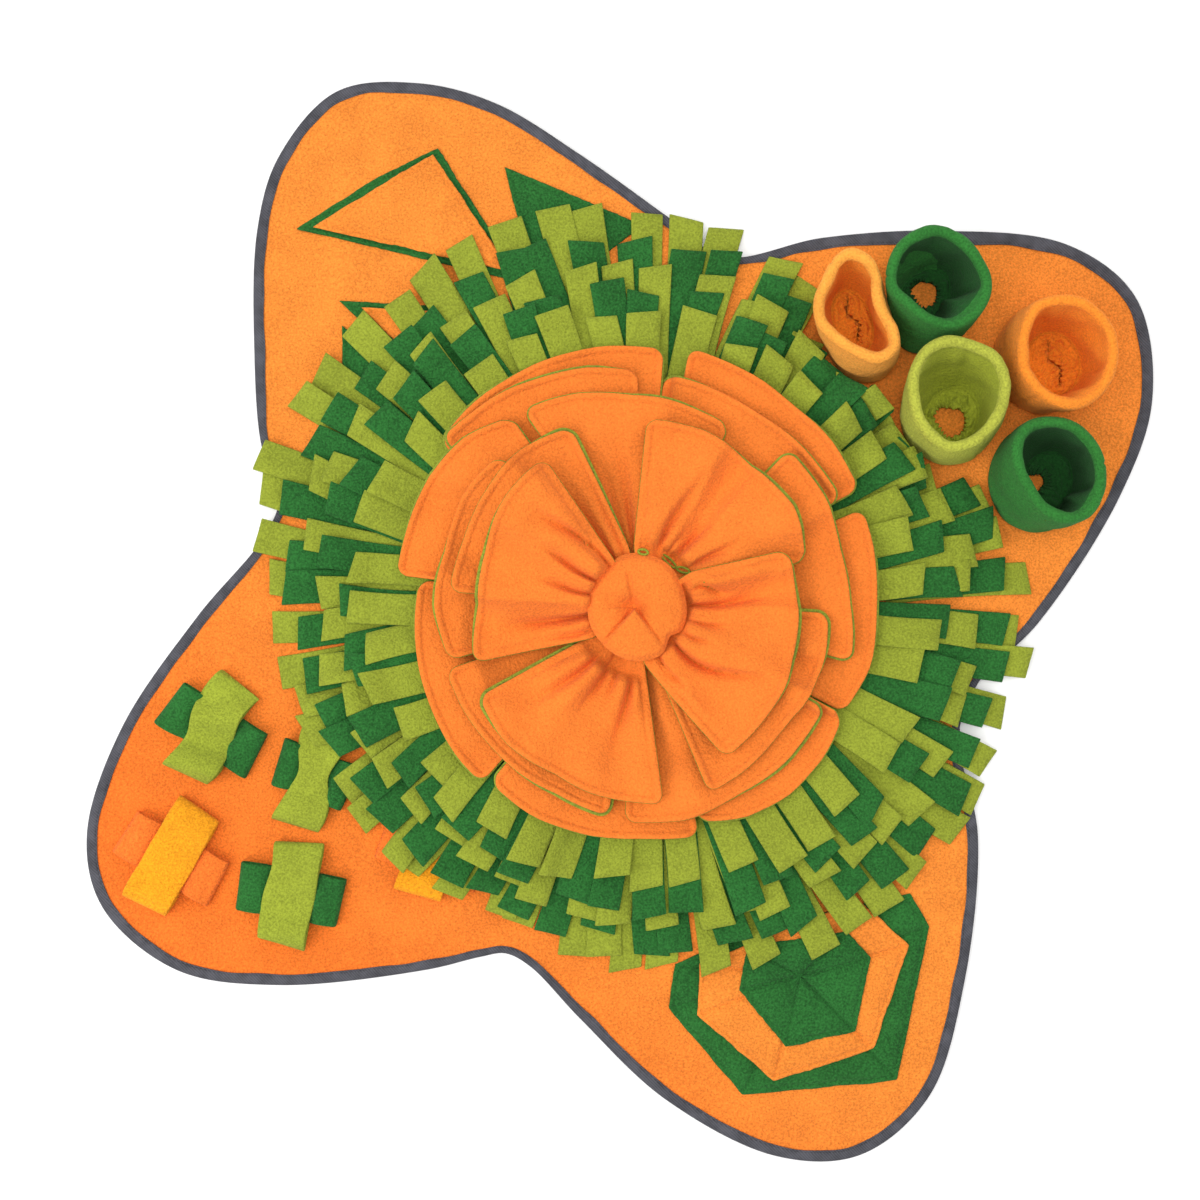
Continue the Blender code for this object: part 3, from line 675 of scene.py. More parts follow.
# Section of the folded tape (from its outer edge inwards, height), once round
TAPE_OUTER = ((13.0, 0.05), (6.0, 0.0), (1.2, 0.0), (0.25, 0.5), (0.0, 2.1), (0.25, 3.7), (1.2, 4.35),
              (4.5, 4.55), (8.0, 4.5), (10.0, 4.35), (10.8, 4.0), (11.6, 4.3), (12.6, 4.35), (13.0, 4.1))
TAPE_INNER = ((12.9, 3.5), (10.8, 3.3), (6.0, 3.35), (1.6, 3.3), (0.95, 2.1), (1.6, 0.95), (6.0, 0.95),
              (12.9, 0.9))
TAPE_STITCH = 10.8          # stitches, from the outer edge
STITCH_PITCH = 4.0
STITCH_LONG = 3.0
STITCH_HALF = 0.35
STITCH_TAPER = (0.5, 1.0, 1.0, 0.5)     # its thickness along it
STITCH_RISE = (3.85, 4.2, 4.2, 3.85)    # its height along it
STITCH_STEPS = 4000         # points that its line is measured at
PUCKER_SINK = 0.1           # the tape sinks no farther


def tape_share(x, y):
    """Width of the tape along the edge, next to the model's: narrower in the notches."""
    near = np.min([np.hypot(x - notch_x, y - notch_y) for notch_x, notch_y in NOTCHES], axis=0)
    (wide_x, wide_y), round_it, more = TAPE_WIDER
    wider = more * np.exp(-((x - wide_x) ** 2 + (y - wide_y) ** 2) / round_it ** 2)
    drawn = TAPE_DRAWN * np.exp(-(near / TAPE_REACH) ** 2)
    return TAPE_SHARE + wider - drawn + 0.05 * waves(x, y, "tape width", 45)


def tape_pucker(x, y):
    """How far the sewn tape rises and sinks along the edge."""
    return 0.28 * waves(x, y, "pucker", 13) + 0.2 * waves(x, y, "long pucker", 34)


def make_binding(ground, paint):
    """Tape folded over the edge, a little puckered where it is sewn."""
    x, y = smooth_closed(OUTLINE, EDGE_STEPS)
    nx, ny = outward(x, y)
    width = tape_share(x, y)
    pucker = tape_pucker(x, y)
    rings = []
    for inset, height in TAPE_OUTER + TAPE_INNER:
        on_top = height > MAT_THICK
        lift = np.clip(pucker * (inset / BINDING_WIDTH) * on_top, -PUCKER_SINK, None) * on_top
        rings.append((x - nx * inset * width, y - ny * inset * width, height + lift))
    grids = [np.stack(ring, axis=1) for ring in zip(*rings)]
    skin = Skin()
    skin.add_tube(skin.add_points(*grids), along=True)
    upper = slice(3, len(TAPE_OUTER))
    ground.cover(*[looped(grid, 0)[:, upper] for grid in grids], steps=5)
    piece = skin.finish("binding_tape", [paint["binding"]], ["edge_binding"])


def make_tape_stitches(paint):
    """Short thread stitches along the tape's inner edge."""
    x, y = smooth_closed(OUTLINE, STITCH_STEPS)
    nx, ny = outward(x, y)
    inset = TAPE_STITCH * tape_share(x, y)
    x, y = x - nx * inset, y - ny * inset
    pucker = np.clip(tape_pucker(x, y), -PUCKER_SINK, None)
    lengths = lengths_along(x, y)
    size = np.array(STITCH_TAPER) * STITCH_HALF
    skin = Skin()
    for k in range(int(lengths[-1] / STITCH_PITCH)):
        at = k * STITCH_PITCH + np.linspace(0, STITCH_LONG, len(size))
        px, py, lift = (np.interp(at, lengths, values) for values in (x, y, pucker))
        along = np.array([px[-1] - px[0], py[-1] - py[0]])
        along = along / max(np.hypot(*along), 1e-6)
        rise = np.array(STITCH_RISE) + lift * TAPE_STITCH / BINDING_WIDTH
        ids = skin.add_points(np.stack([px + side * size * -along[1] for side in (1, 0, -1, 0)], axis=1),
                              np.stack([py + side * size * along[0] for side in (1, 0, -1, 0)], axis=1),
                              np.stack([rise + side * size for side in (0, 1, 0, -1)], axis=1))
        skin.add_tube(ids)
        for end in (ids[:1], ids[-1:]):
            skin.add_quads(*[end[:, c] for c in range(4)], 0)
    skin.finish("binding_stitches", [paint["thread"]])


# ---- flat pieces: flaps and web patch ----

PATCH_LINES = (0.0, 0.9, 2.2, 3.5, 4.8, 7.0)        # grid lines from a patch's cut edge
PATCH_STITCH = 3.5
PATCH_SPOKES = 120
PATCH_RINGS = 12
PATCH_GAP = 0.25            # left under it
PATCH_STIFF = 3             # passes that bridge the hollows below
PATCH_INSIDE = 20.0         # stands for its inner rings' distance from the edge
CORNER_LINES = (-2.4, -1.2, 0, 1.2, 2.4)    # grid lines at a corner, in half widths of a crease
CORNER_CLEAR = 3.2          # no other lines are as near
PATCH_RAILS = ((0.35, 0.72), (0.4, 0.35), (0.1, 0.08))      # outset and share of the thickness, down its edge
CREASE_HALF = 1.3           # half width of a seam crease
CREASE_DEPTH = 1.5
FACET_PUFF = 2.2            # how high the cloth between two creases rises over them
FACET_REACH = 7.0


def side_distances(corners, centre):
    """Outward normal and distance of each side of a convex outline from a centre inside it."""
    found = []
    for i, (x1, y1) in enumerate(corners):
        x2, y2 = corners[(i + 1) % len(corners)]
        size = math.hypot(x2 - x1, y2 - y1)
        nx, ny = (y2 - y1) / size, (x1 - x2) / size
        away = nx * (x1 - centre[0]) + ny * (y1 - centre[1])
        if away < 0:
            nx, ny, away = -nx, -ny, -away
        found.append((nx, ny, away))
    return found


def reach_inside(corners, centre, ux, uy, line):
    """How far from its centre a convex outline is in each direction, drawn in by a distance."""
    limits = []
    for nx, ny, away in side_distances(corners, centre):
        facing = nx * ux + ny * uy
        limits.append(np.where(facing > 1e-3, (away - line) / np.maximum(facing, 1e-3), 1e9))
    return np.min(limits, axis=0)


def patch_angles(corners, centre):
    """Directions of a patch's grid lines, close together at its corners."""
    angles = list(np.linspace(-math.pi, math.pi, PATCH_SPOKES, endpoint=False))
    for x, y in corners:
        turn = math.atan2(y - centre[1], x - centre[0])
        near = CREASE_HALF / math.hypot(x - centre[0], y - centre[1])
        angles = [angle for angle in angles if abs(angle - turn) > CORNER_CLEAR * near]
        angles += [turn + near * k for k in CORNER_LINES]
    return np.array(sorted(angles))


def seam_creases(x, y, corners, centre, lines):
    """Height of the cloth between the creases that run from a patch's centre to its corners."""
    reach = np.hypot(x - centre[0], y - centre[1])
    turn = np.arctan2(y - centre[1], x - centre[0])
    corner_turns = [math.atan2(corner_y - centre[1], corner_x - centre[0]) for corner_x, corner_y in corners]
    off = np.min([np.abs((turn - corner + math.pi) % (2 * math.pi) - math.pi) * reach
                  for corner in corner_turns], axis=0)
    puff = FACET_PUFF * (1 - np.exp(-off / FACET_REACH)) * ease(lines / 9.0)[None, :]
    return puff, CREASE_DEPTH * np.exp(-(off / CREASE_HALF) ** 2) * (reach > 2)


def make_patch(ground, name, corners, paint, centre=None):
    """A cut piece of fleece stitched round its edge; with a centre, seams run from there to its corners."""
    creased = centre is not None
    if not creased:
        centre = tuple(sum(corner[k] for corner in corners) / len(corners) for k in (0, 1))
    angles = patch_angles(corners, centre)
    ux, uy = np.cos(angles), np.sin(angles)
    reach = [reach_inside(corners, centre, ux, uy, line) for line in PATCH_LINES]
    edge_x, edge_y = centre[0] + ux * reach[0], centre[1] + uy * reach[0]
    ragged = 0.5 * waves(edge_x, edge_y, name, 30) + 0.35 * waves(edge_x, edge_y, name + " cut", 7)
    reach = [radius + ragged for radius in reach]
    reach += [reach[-1] * share for share in np.linspace(1, 0.04, PATCH_RINGS + 1)[1:]]
    radius = np.stack(reach, axis=1)
    x = looped(centre[0] + radius * ux[:, None], 0)
    y = looped(centre[1] + radius * uy[:, None], 0)
    low = settle(ground, x, y, PATCH_GAP, PATCH_STIFF)
    low[0] = low[-1] = np.maximum(low[0], low[-1])
    lines = np.concatenate([PATCH_LINES, [PATCH_INSIDE] * PATCH_RINGS])
    relief = 0.5 * np.exp(-((lines - 1.4) / 1.0) ** 2) - 1.1 * np.exp(-((lines - PATCH_STITCH) / 1.0) ** 2)
    high = low + SHEET + relief[None, :] + 0.15 * waves(x, y, name + " nap", 14)
    high[:, 0] = low[:, 0] + SHEET * 0.85
    if creased:
        puff, crease = seam_creases(x, y, corners, centre, lines)
        high = high + puff - crease
    skin = Skin()
    top = skin.add_points(x[:-1].T, y[:-1].T, high[:-1].T)
    bottom = skin.add_points(x[:-1].T, y[:-1].T, low[:-1].T)
    skin.add_tube(top)
    skin.add_tube(bottom)
    edge_x, edge_y = x[:-1, 0], y[:-1, 0]
    nx, ny = outward(edge_x, edge_y)
    above = top[:1]
    for outset, share in PATCH_RAILS:
        height = low[:-1, 0] + (high[:-1, 0] - low[:-1, 0]) * share
        ring = skin.add_points((edge_x + nx * outset)[None], (edge_y + ny * outset)[None], height[None])
        skin.add_tube(np.concatenate([above, ring]))
        above = ring
    skin.add_tube(np.concatenate([above, bottom[:1]]))
    for rings, heights in ((top, high), (bottom, low)):
        skin.add_cap(rings[-1], centre[0], centre[1], heights[:, -1].mean())
    ground.cover(x, y, high)
    piece = skin.finish(name + "_cloth", [paint[0]], [name])


# ---- crossed loops ----

LOOP_STATIONS = 84


def make_loop(ground, node, centre, turn, length, partly_hidden, path, paint):
    """A strip sewn down in its middle, its ends folded back under into two flat loops."""
    name = node + "_cloth"
    half = length / 2 - LOOP_THICK / 2
    flatter = HIDDEN_HEIGHT if partly_hidden else 1.0
    thick = LOOP_THICK * (HIDDEN_THICK if partly_hidden else 1.0)
    right = [(share * half, height) for share, height in path]
    closed = right + [(-x, height) for x, height in reversed(right) if x > 0]
    closed = [(x, LOOP_BASE + (height - LOOP_BASE) * flatter) for x, height in closed]
    along, rise = smooth_closed(closed, LOOP_STATIONS, 12)
    nx, nz = outward(along, rise)
    draw = random.Random(name)
    u = np.array(CLOTH_ACROSS + CLOTH_ACROSS[::-1])[None, :]
    side = np.where(np.abs(CLOTH_ACROSS) < 0.5, 0.5, 0.22)
    s = np.concatenate([side, -side])[None, :] * thick
    a = along[:, None] + nx[:, None] * s
    z = rise[:, None] + nz[:, None] * s
    high_up = ease((rise[:, None] - 3.5) / 4)
    width = LOOP_WIDTH * (1 + 0.03 * waves(a, 0 * a, name, 40))
    pinch, sway, curl, wave, slant = BENDS[node]
    width = width * (1 - pinch * np.exp(-(a / 16) ** 2))
    across = u * width + sway * np.sin(a / length * 2 * math.pi) + draw.uniform(-0.6, 0.6)
    a = a + slant * u * (a / half) ** 3
    from_end = np.abs(a) - half
    end_seam = 0.8 * np.exp(-((from_end + 3.5) / 1.1) ** 2) - 0.5 * np.exp(-((from_end + 6.5) / 1.3) ** 2)
    z = z + high_up * (curl * (2 * np.abs(u)) ** 3 * ease((np.abs(a) / half - 0.55) / 0.4)
                       + end_seam + wave * np.sin(a / length * 4 * math.pi + 0.06 * across)
                       + 0.7 * waves(a, across, name + " wave", 30))
    x, y = placed(centre, math.radians(turn), a, across)
    z = z - z.min() + 0.15 + ground_base(ground, centre, turn, half)
    skin = Skin()
    skin.add_tube(skin.add_points(x, y, z), along=True)
    piece = skin.finish(name, [paint[0]], [node])
    order = np.argsort(along)
    upper = order[rise[order] > np.median(rise)]
    return [grid[upper][:, :len(CLOTH_ACROSS)] for grid in (x, y, z)]


def ground_base(ground, centre, turn, half):
    """Greatest height of what is below one strip of a cross."""
    spots = np.linspace(-half, half, 9)[None, None]
    heights = [ground.under(*placed(centre, math.radians(turn), spots, across))
               for across in (-LOOP_WIDTH / 2, 0, LOOP_WIDTH / 2)]
    return float(np.max(heights))


# ---- cups ----

CUP_LEVELS = 18             # rows up its wall
CUP_FLOOR_RINGS = 16
ROLL_STEPS = 12             # steps over its rim, one more than its rows there
CUP_BASE = SEAT + 1.2       # where its wall starts
CUP_SOLE = 0.9              # underside of its cloth, above the seat
SLIT_HALF = 5.0             # half width below which a hole is drawn to a wavy slit
SEAM_DEPTH = 2.6            # groove where the wall is sewn to the bottom


def oval(half_long, half_short, turn, angles):
    """Radius of an ellipse at the given angles, seen from its middle."""
    local = angles - math.radians(turn)
    return half_long * half_short / np.hypot(half_short * np.cos(local), half_long * np.sin(local))


def near_angle(angles, degrees, width):
    """1 at an angle, dying away over a width in degrees."""
    off = (np.degrees(angles) - degrees + 180) % 360 - 180
    return np.exp(-(off / width) ** 2)


def cup_floor(hole, name, angles, floor_x, floor_y):
    """Rows of points from the wall's seam to the gathered edge of the bottom's hole, and that edge."""
    half_long, half_wide, turn, *middle = hole
    local = angles - math.radians(turn)
    along = half_long * np.cos(local)
    across = half_wide * (1 + 0.18 * np.sin(3 * angles)) * np.sin(local)
    if half_wide < SLIT_HALF:
        across = across + 3.4 * np.sin(along / 4.2) * np.cos(along / half_long)
    hole_x, hole_y = placed(middle, math.radians(turn), along, across)
    found = []
    for share in np.linspace(0, 1, CUP_FLOOR_RINGS)[1:]:
        x = floor_x + (hole_x - floor_x) * share
        y = floor_y + (hole_y - floor_y) * share
        ruffle = 4.2 * np.abs(waves(x, y, name + " ruffle", 12))
        crumple = ruffle * math.sin(math.pi * min(1, share * 0.8 + 0.1))
        lobes = np.sin(19 * angles + 2.5 * np.sin(3 * angles) + 2.0 * share) * ease((share - 0.45) / 0.5)
        lift = CUP_FLOOR - 1.0 * share + crumple + 1.7 * lobes * (share < 1) + 1.5 * ease((share - 0.7) / 0.3)
        found.append((x + 1.3 * lobes * np.cos(angles), y + 1.3 * lobes * np.sin(angles), lift))
    return found, hole_x, hole_y


def make_cup(number, cup, paint, inside):
    """A soft cup of double cloth: wall, thick rolled rim and a bottom gathered round a hole."""
    name = "cup_%d" % number
    angles = np.linspace(0, 2 * math.pi, CUP_STEPS, endpoint=False)
    ux, uy = np.cos(angles), np.sin(angles)
    rim_x, rim_y = smooth_closed(cup["rim"], 360, 30)
    middle = (float(rim_x.mean()), float(rim_y.mean()))
    rim = polar_radius(rim_x, rim_y, middle, angles)
    foot = oval(cup["half_long"], cup["half_short"], cup["turn"], angles)
    foot_x, foot_y = cup["x"] + foot * ux, cup["y"] + foot * uy
    inner = oval(*cup["floor"][2:], angles)
    floor_x, floor_y = cup["floor"][0] + inner * ux, cup["floor"][1] + inner * uy
    top_x, top_y = middle[0] + rim * ux, middle[1] + rim * uy
    nx, ny = outward(top_x, top_y)
    fx, fy = outward(foot_x, foot_y)
    top = cup["top"] + 2.0 * waves(top_x, top_y, name, 60) + 0.7 * waves(top_x, top_y, name + " fine", 20) - 2
    points = []
    for level in np.linspace(0, 1, CUP_LEVELS):
        share = level ** 1.15
        bulge = 2.6 * math.sin(math.pi * level) + 2.4 * math.exp(-((level - 0.1) / 0.13) ** 2)
        x = foot_x + (top_x + nx * CUP_ROLL - foot_x) * share + nx * bulge
        y = foot_y + (top_y + ny * CUP_ROLL - foot_y) * share + ny * bulge
        z = CUP_BASE + (top - CUP_ROLL - CUP_BASE) * level
        sag = 1.5 * waves(x + 0.5 * z, y, name + " sag", 38)
        sag = sag + 0.8 * waves(x, y + 1.4 * z, name + " buckle", 24)
        sag = 0.7 * sag * math.sin(math.pi * min(1, level + 0.12))
        points.append((x + nx * sag, y + ny * sag, z))
    uneven = 1 + 0.14 * waves(top_x, top_y, name + " roll", 34)
    roll = CUP_ROLL * (uneven + 0.05 * waves(top_x, top_y, name, 11))
    for step in range(1, ROLL_STEPS):
        angle = math.pi * step / ROLL_STEPS
        points.append((top_x + nx * roll * math.cos(angle), top_y + ny * roll * math.cos(angle),
                       top - CUP_ROLL + roll * 1.15 * math.sin(angle)))
    crease = sum(depth * near_angle(angles, degrees, width) for degrees, depth, width in cup["folds"])
    for level in np.linspace(1, 0, CUP_LEVELS):
        share = level ** 0.8
        bulge = 1.5 * math.sin(math.pi * level)
        x = floor_x + (top_x - nx * CUP_ROLL - floor_x) * share + nx * bulge
        y = floor_y + (top_y - ny * CUP_ROLL - floor_y) * share + ny * bulge
        z = CUP_FLOOR + (top - CUP_ROLL - CUP_FLOOR) * level
        fold = 1.8 * waves(x, y + 0.5 * z, name + " inner", 32) + crease
        fold = fold * math.sin(math.pi * min(1, level * 0.85 + 0.08))
        points.append((x + nx * fold, y + ny * fold, z))
    bottom, hole_x, hole_y = cup_floor(cup["hole"], name, angles, floor_x - fx * 2.2, floor_y - fy * 2.2)
    hole_middle_x, hole_middle_y = cup["hole"][3:]
    away = np.hypot(hole_x - hole_middle_x, hole_y - hole_middle_y)
    out_x, out_y = (hole_x - hole_middle_x) / away, (hole_y - hole_middle_y) / away

    def level_ring(x, y, height):
        return x, y, np.full(CUP_STEPS, height)

    points += [level_ring(floor_x - fx * 0.9, floor_y - fy * 0.9, CUP_FLOOR - SEAM_DEPTH),
               level_ring(floor_x - fx * 2.2, floor_y - fy * 2.2, CUP_FLOOR + 0.6),
               *bottom,
               level_ring(hole_x, hole_y, SEAT + 1.4),
               level_ring(hole_x + out_x * 2.5, hole_y + out_y * 2.5, SEAT + CUP_SOLE),
               level_ring(foot_x - fx * 3, foot_y - fy * 3, SEAT + CUP_SOLE)]
    grids = [np.stack(rings, axis=1) for rings in zip(*points)]
    seam = int(CUP_STEPS * (0.15 + 0.17 * number)) % (CUP_STEPS - 2) + 1
    for column, depth in ((seam - 1, 0.4), (seam, 1.1), (seam + 1, 0.4)):
        grids[0][column, :CUP_LEVELS + 6] -= nx[column] * depth
        grids[1][column, :CUP_LEVELS + 6] -= ny[column] * depth
    skin = Skin()
    skin.add_tube(skin.add_points(*grids), along=True)
    # The inner wall and the bottom take slot 1: the cup's colour with painted light and shade for its inside.
    slots = np.concatenate(skin.slots).reshape(CUP_STEPS, -1)
    first_inner = CUP_LEVELS + ROLL_STEPS - 1
    slots[:, first_inner:first_inner + CUP_LEVELS + CUP_FLOOR_RINGS + 1] = 1
    skin.slots = [slots.ravel()]
    piece = skin.finish(name + "_cloth", [paint[0], inside], [name])


# ---- fringe ----

def blocked(x, y):
    """Whether a point is in a cup's footprint or next to it."""
    for cup in CUPS:
        dx, dy = x - cup["x"], y - cup["y"]
        foot = oval(cup["half_long"], cup["half_short"], cup["turn"], math.atan2(dy, dx))
        if math.hypot(dx, dy) < foot + CUP_CLEAR:
            return True
    return False


STRIP_RAILS = ((0.3, 0.55, 0),)
STRIP_GAP = 0.25            # left under it
STRIP_STIFF = 6             # passes that bridge the hollows below
STRIP_NARROWEST = 0.90      # next to the even width
STRIP_WIDEST = 1.06
STRIP_SHIFT = 0.22          # how far it is from its even place, as a share of the ring's spacing
STRIP_LEAN = 0.06           # slope off the radius
STRIP_CURVE = 7.0           # sideways bend at its end
STRIP_LONGER = (-8, 9)      # how much longer it is than its ring reaches
STRIP_SKEW = 3.2            # slant of its end
STRIP_CURL = (1.0, 2.6)     # mean and spread of how high its end curls
STRIP_ROLL = 2.6            # spread of how high one of its sides rises
STRIP_SEARCH = 2.0          # step of the search for a cup in its way
STRIP_SHORTEST = 222.0      # radius inside which no cup stops it
STRIP_BENT = 7.0            # highest that its end stands where a cup is in its way
# Angles (degrees) and how much farther the fringe reaches there than its rings' even radius
REACH = (
    (0, 6), (10, 4), (22, -10), (62, -9), (70, -3), (87, 12), (107, 18), (124, 15), (149, 18), (158, 20),
    (170, 12), (180, -2), (192, -12), (200, -13), (213, -18), (225, -21), (238, -25), (247, -22),
    (262, -17), (272, -10), (293, 5), (313, 12), (326, 18), (337, 13), (350, 8),
)
REACH_SHARE = 0.5           # share of it that the innermost ring has


def reach_at(angle, end):
    """How much farther a ring reaches at an angle (radians), next to its even radius."""
    inner, outer = FRINGE[-1][2], FRINGE[0][2]
    share = REACH_SHARE + (1 - REACH_SHARE) * (end - inner) / (outer - inner)
    return share * float(np.interp(math.degrees(angle) % 360, *zip(*REACH), period=360))


def make_fringe(ground, ring, paint):
    """One ring of strips, laid one by one on what is below them."""
    node, root, end, count, _ = ring
    draw = random.Random(node)
    skin = Skin()
    order = list(range(count))
    draw.shuffle(order)
    for k in order:
        angle = (k + 0.5 + draw.uniform(-STRIP_SHIFT, STRIP_SHIFT)) * (2 * math.pi / count)
        lean = draw.uniform(-STRIP_LEAN, STRIP_LEAN)
        curve = draw.uniform(-STRIP_CURVE, STRIP_CURVE)
        longest = end + reach_at(angle, end) + draw.uniform(*STRIP_LONGER)
        skew = draw.uniform(-STRIP_SKEW, STRIP_SKEW)
        wide = STRIP_WIDTH * draw.uniform(STRIP_NARROWEST, STRIP_WIDEST)
        curl = max(0.0, draw.gauss(*STRIP_CURL))
        roll = draw.uniform(-1, 1) * abs(draw.gauss(0, STRIP_ROLL))
        stop = longest
        bent = 0.0
        for radius in np.arange(STRIP_SHORTEST, longest, STRIP_SEARCH):
            shift = lean * (radius - root) + curve * ((radius - root) / (longest - root)) ** 2
            if any(blocked(*placed(FLOWER, angle, radius, w + shift)) for w in (-wide / 2, 0, wide / 2)):
                stop = max(STRIP_SHORTEST, radius - STRIP_SEARCH)
                bent = min(STRIP_BENT, 0.6 * (longest - stop))
                break
        t = np.linspace(0, 1, max(6, int((stop - root) / STRIP_STATION) + 1))[:, None]
        across = np.array(CLOTH_ACROSS)[None, :] * wide
        radial = root + (stop - root) * t + skew * t ** 6 * across / wide * 2
        lateral = lean * (radial - root) + curve * t ** 2 + across * (1 - 0.05 * np.sin(math.pi * t))
        x, y = placed(FLOWER, angle, radial, lateral)
        low = settle(ground, x, y, STRIP_GAP, STRIP_STIFF)
        wave = 0.8 * np.abs(waves(radial, across + 31 * k, node, 55)) * ease((t - 0.35) / 0.4)
        side_up = np.abs(roll) * (0.5 + math.copysign(1, roll) * across / wide) ** 2
        low = low + wave + side_up * ease((t - 0.45) / 0.55)
        lift = curl * ease((t - 0.62) / 0.38) ** 2 + bent * ease((t - 0.80) / 0.20) ** 1.5
        high = low + lift + STRIP_THICK
        high[:, 0] -= 0.3
        high[:, -1] -= 0.3
        high[-1] -= 0.25
        add_slab(skin, x, y, low + lift, high, STRIP_RAILS)
        ground.cover(x, y, high - 0.6 * lift)
    piece = skin.finish(node + "_strips", [paint[0]], [node])


# ---- flower ----

PETAL_RUN = 34              # grid lines from a petal's inner end to those of its outer edge
PETAL_STEP = 1.0            # degrees between its grid lines, on the petals whose folds show and on the rest
HIDDEN_STEP = 3.0
PETAL_STIFF = 70            # passes that bridge the hollows below, on the same two kinds
HIDDEN_STIFF = 10
PETAL_GAP = 0.3             # left under it
PETAL_RAILS = ((0.5, 0.86, 0), (0.8, 0.62, 0), (0.3, 0.5, 0))
LIME_RAILS = ((0.1, 0.42, 1), (0.4, 0.24, 1), (0.0, 0.06, 1))
GATHER_LINE = 49.0          # radius of the gathers, where a petal's folds start
GATHER_DEPTH = 2.2          # depth of the stitches across them
HIDDEN_LINE = 40.0          # radius of those stitches where the bud covers them
GATHER_ENDS = {2: (56, 63), 4: (50, 49)}    # their radius at both sides of the petals where they show
RIDGE = 17.0                # height of the cloth between two gathered valleys, at the gathers
RIDGE_REACH = 118.0         # length over which it dies away
VALLEY_HALF = 1.6           # half width of a valley at the gathers; it widens outwards
VALLEY_SPREAD = 0.070
HOLLOW = 2.6                # depth of the dips near a petal's corners
# Inner ends of a petal's sides where they aren't radial: angles at the gathers
SIDE_FEET = {
    1: (123, 214), 2: (213, 273), 3: (274, 392), 4: (20, 96), 5: (103, 176), 6: (64, 112), 7: (284, 357),
}
# Where the lime layer shows most past a petal's edge: angle, half width in degrees
LIPS = {
    1: (172, 24), 2: (212, 9), 3: (352, 26), 4: (36, 22), 5: (114, 9), 7: (355, 14), 8: (255, 20),
    11: (318, 22),
}
# Valleys of the petals whose folds show: angle at the gathers, angle and radius of its end, share of the
# full depth
VALLEYS = {
    1: ((130, 139, 122, 1.0), (154, 150, 92, 0.8), (170, 166, 84, 0.6), (191, 189, 112, 1.0),
        (207, 199, 92, 0.6)),
    2: ((222, 214, 88, 0.5), (231, 222, 130, 1.0), (243, 240, 98, 0.95), (252, 250, 84, 0.6),
        (263, 259, 128, 1.0), (270, 272, 88, 0.6)),
    3: ((378, 368, 70, 0.9), (358, 363, 100, 1.0), (342, 345, 74, 0.5), (311, 329, 124, 1.0),
        (289, 297, 78, 0.9), (327, 331, 66, 0.4)),
    4: ((73, 64, 122, 1.0), (86, 82, 74, 0.5), (52, 50, 86, 0.9), (37, 33, 92, 0.8), (62, 59, 68, 0.5)),
    5: ((111, 117, 150, 0.8), (122, 124, 120, 0.8), (140, 142, 130, 0.8), (160, 158, 130, 0.8)),
    6: ((96, 98, 150, 1.0), (105, 105, 120, 0.8), (80, 80, 120, 0.6)),
    7: ((300, 301, 140, 0.8), (312, 310, 120, 0.7), (330, 330, 130, 0.8), (346, 347, 130, 0.8)),
    9: ((150, 151, 145, 0.8), (170, 171, 150, 0.8), (186, 187, 140, 0.8)),
    10: ((358, 358, 150, 0.8), (380, 379, 150, 0.8)),
}


def round_corner(a, b):
    """Distances from a petal's side and from its outer edge, bent round its corner."""
    p = np.clip(1 - a / PETAL_CORNER, 0, 1)
    q = np.clip(1 - b / PETAL_CORNER, 0, 1)
    near = (p > 0) & (q > 0)
    round_a = np.where(near, PETAL_CORNER * (1 - p * np.sqrt(1 - q * q / 2)), a)
    round_b = np.where(near, PETAL_CORNER * (1 - q * np.sqrt(1 - p * p / 2)), b)
    return round_a, round_b


def towards_foot(radius, edge):
    """How far a petal's straight side has turned to its inner end: 0 at the outer edge, 1 at the gathers."""
    return np.clip((1 / np.maximum(radius, 1) - 1 / edge) / (1 / GATHER_LINE - 1 / edge), 0, 1)


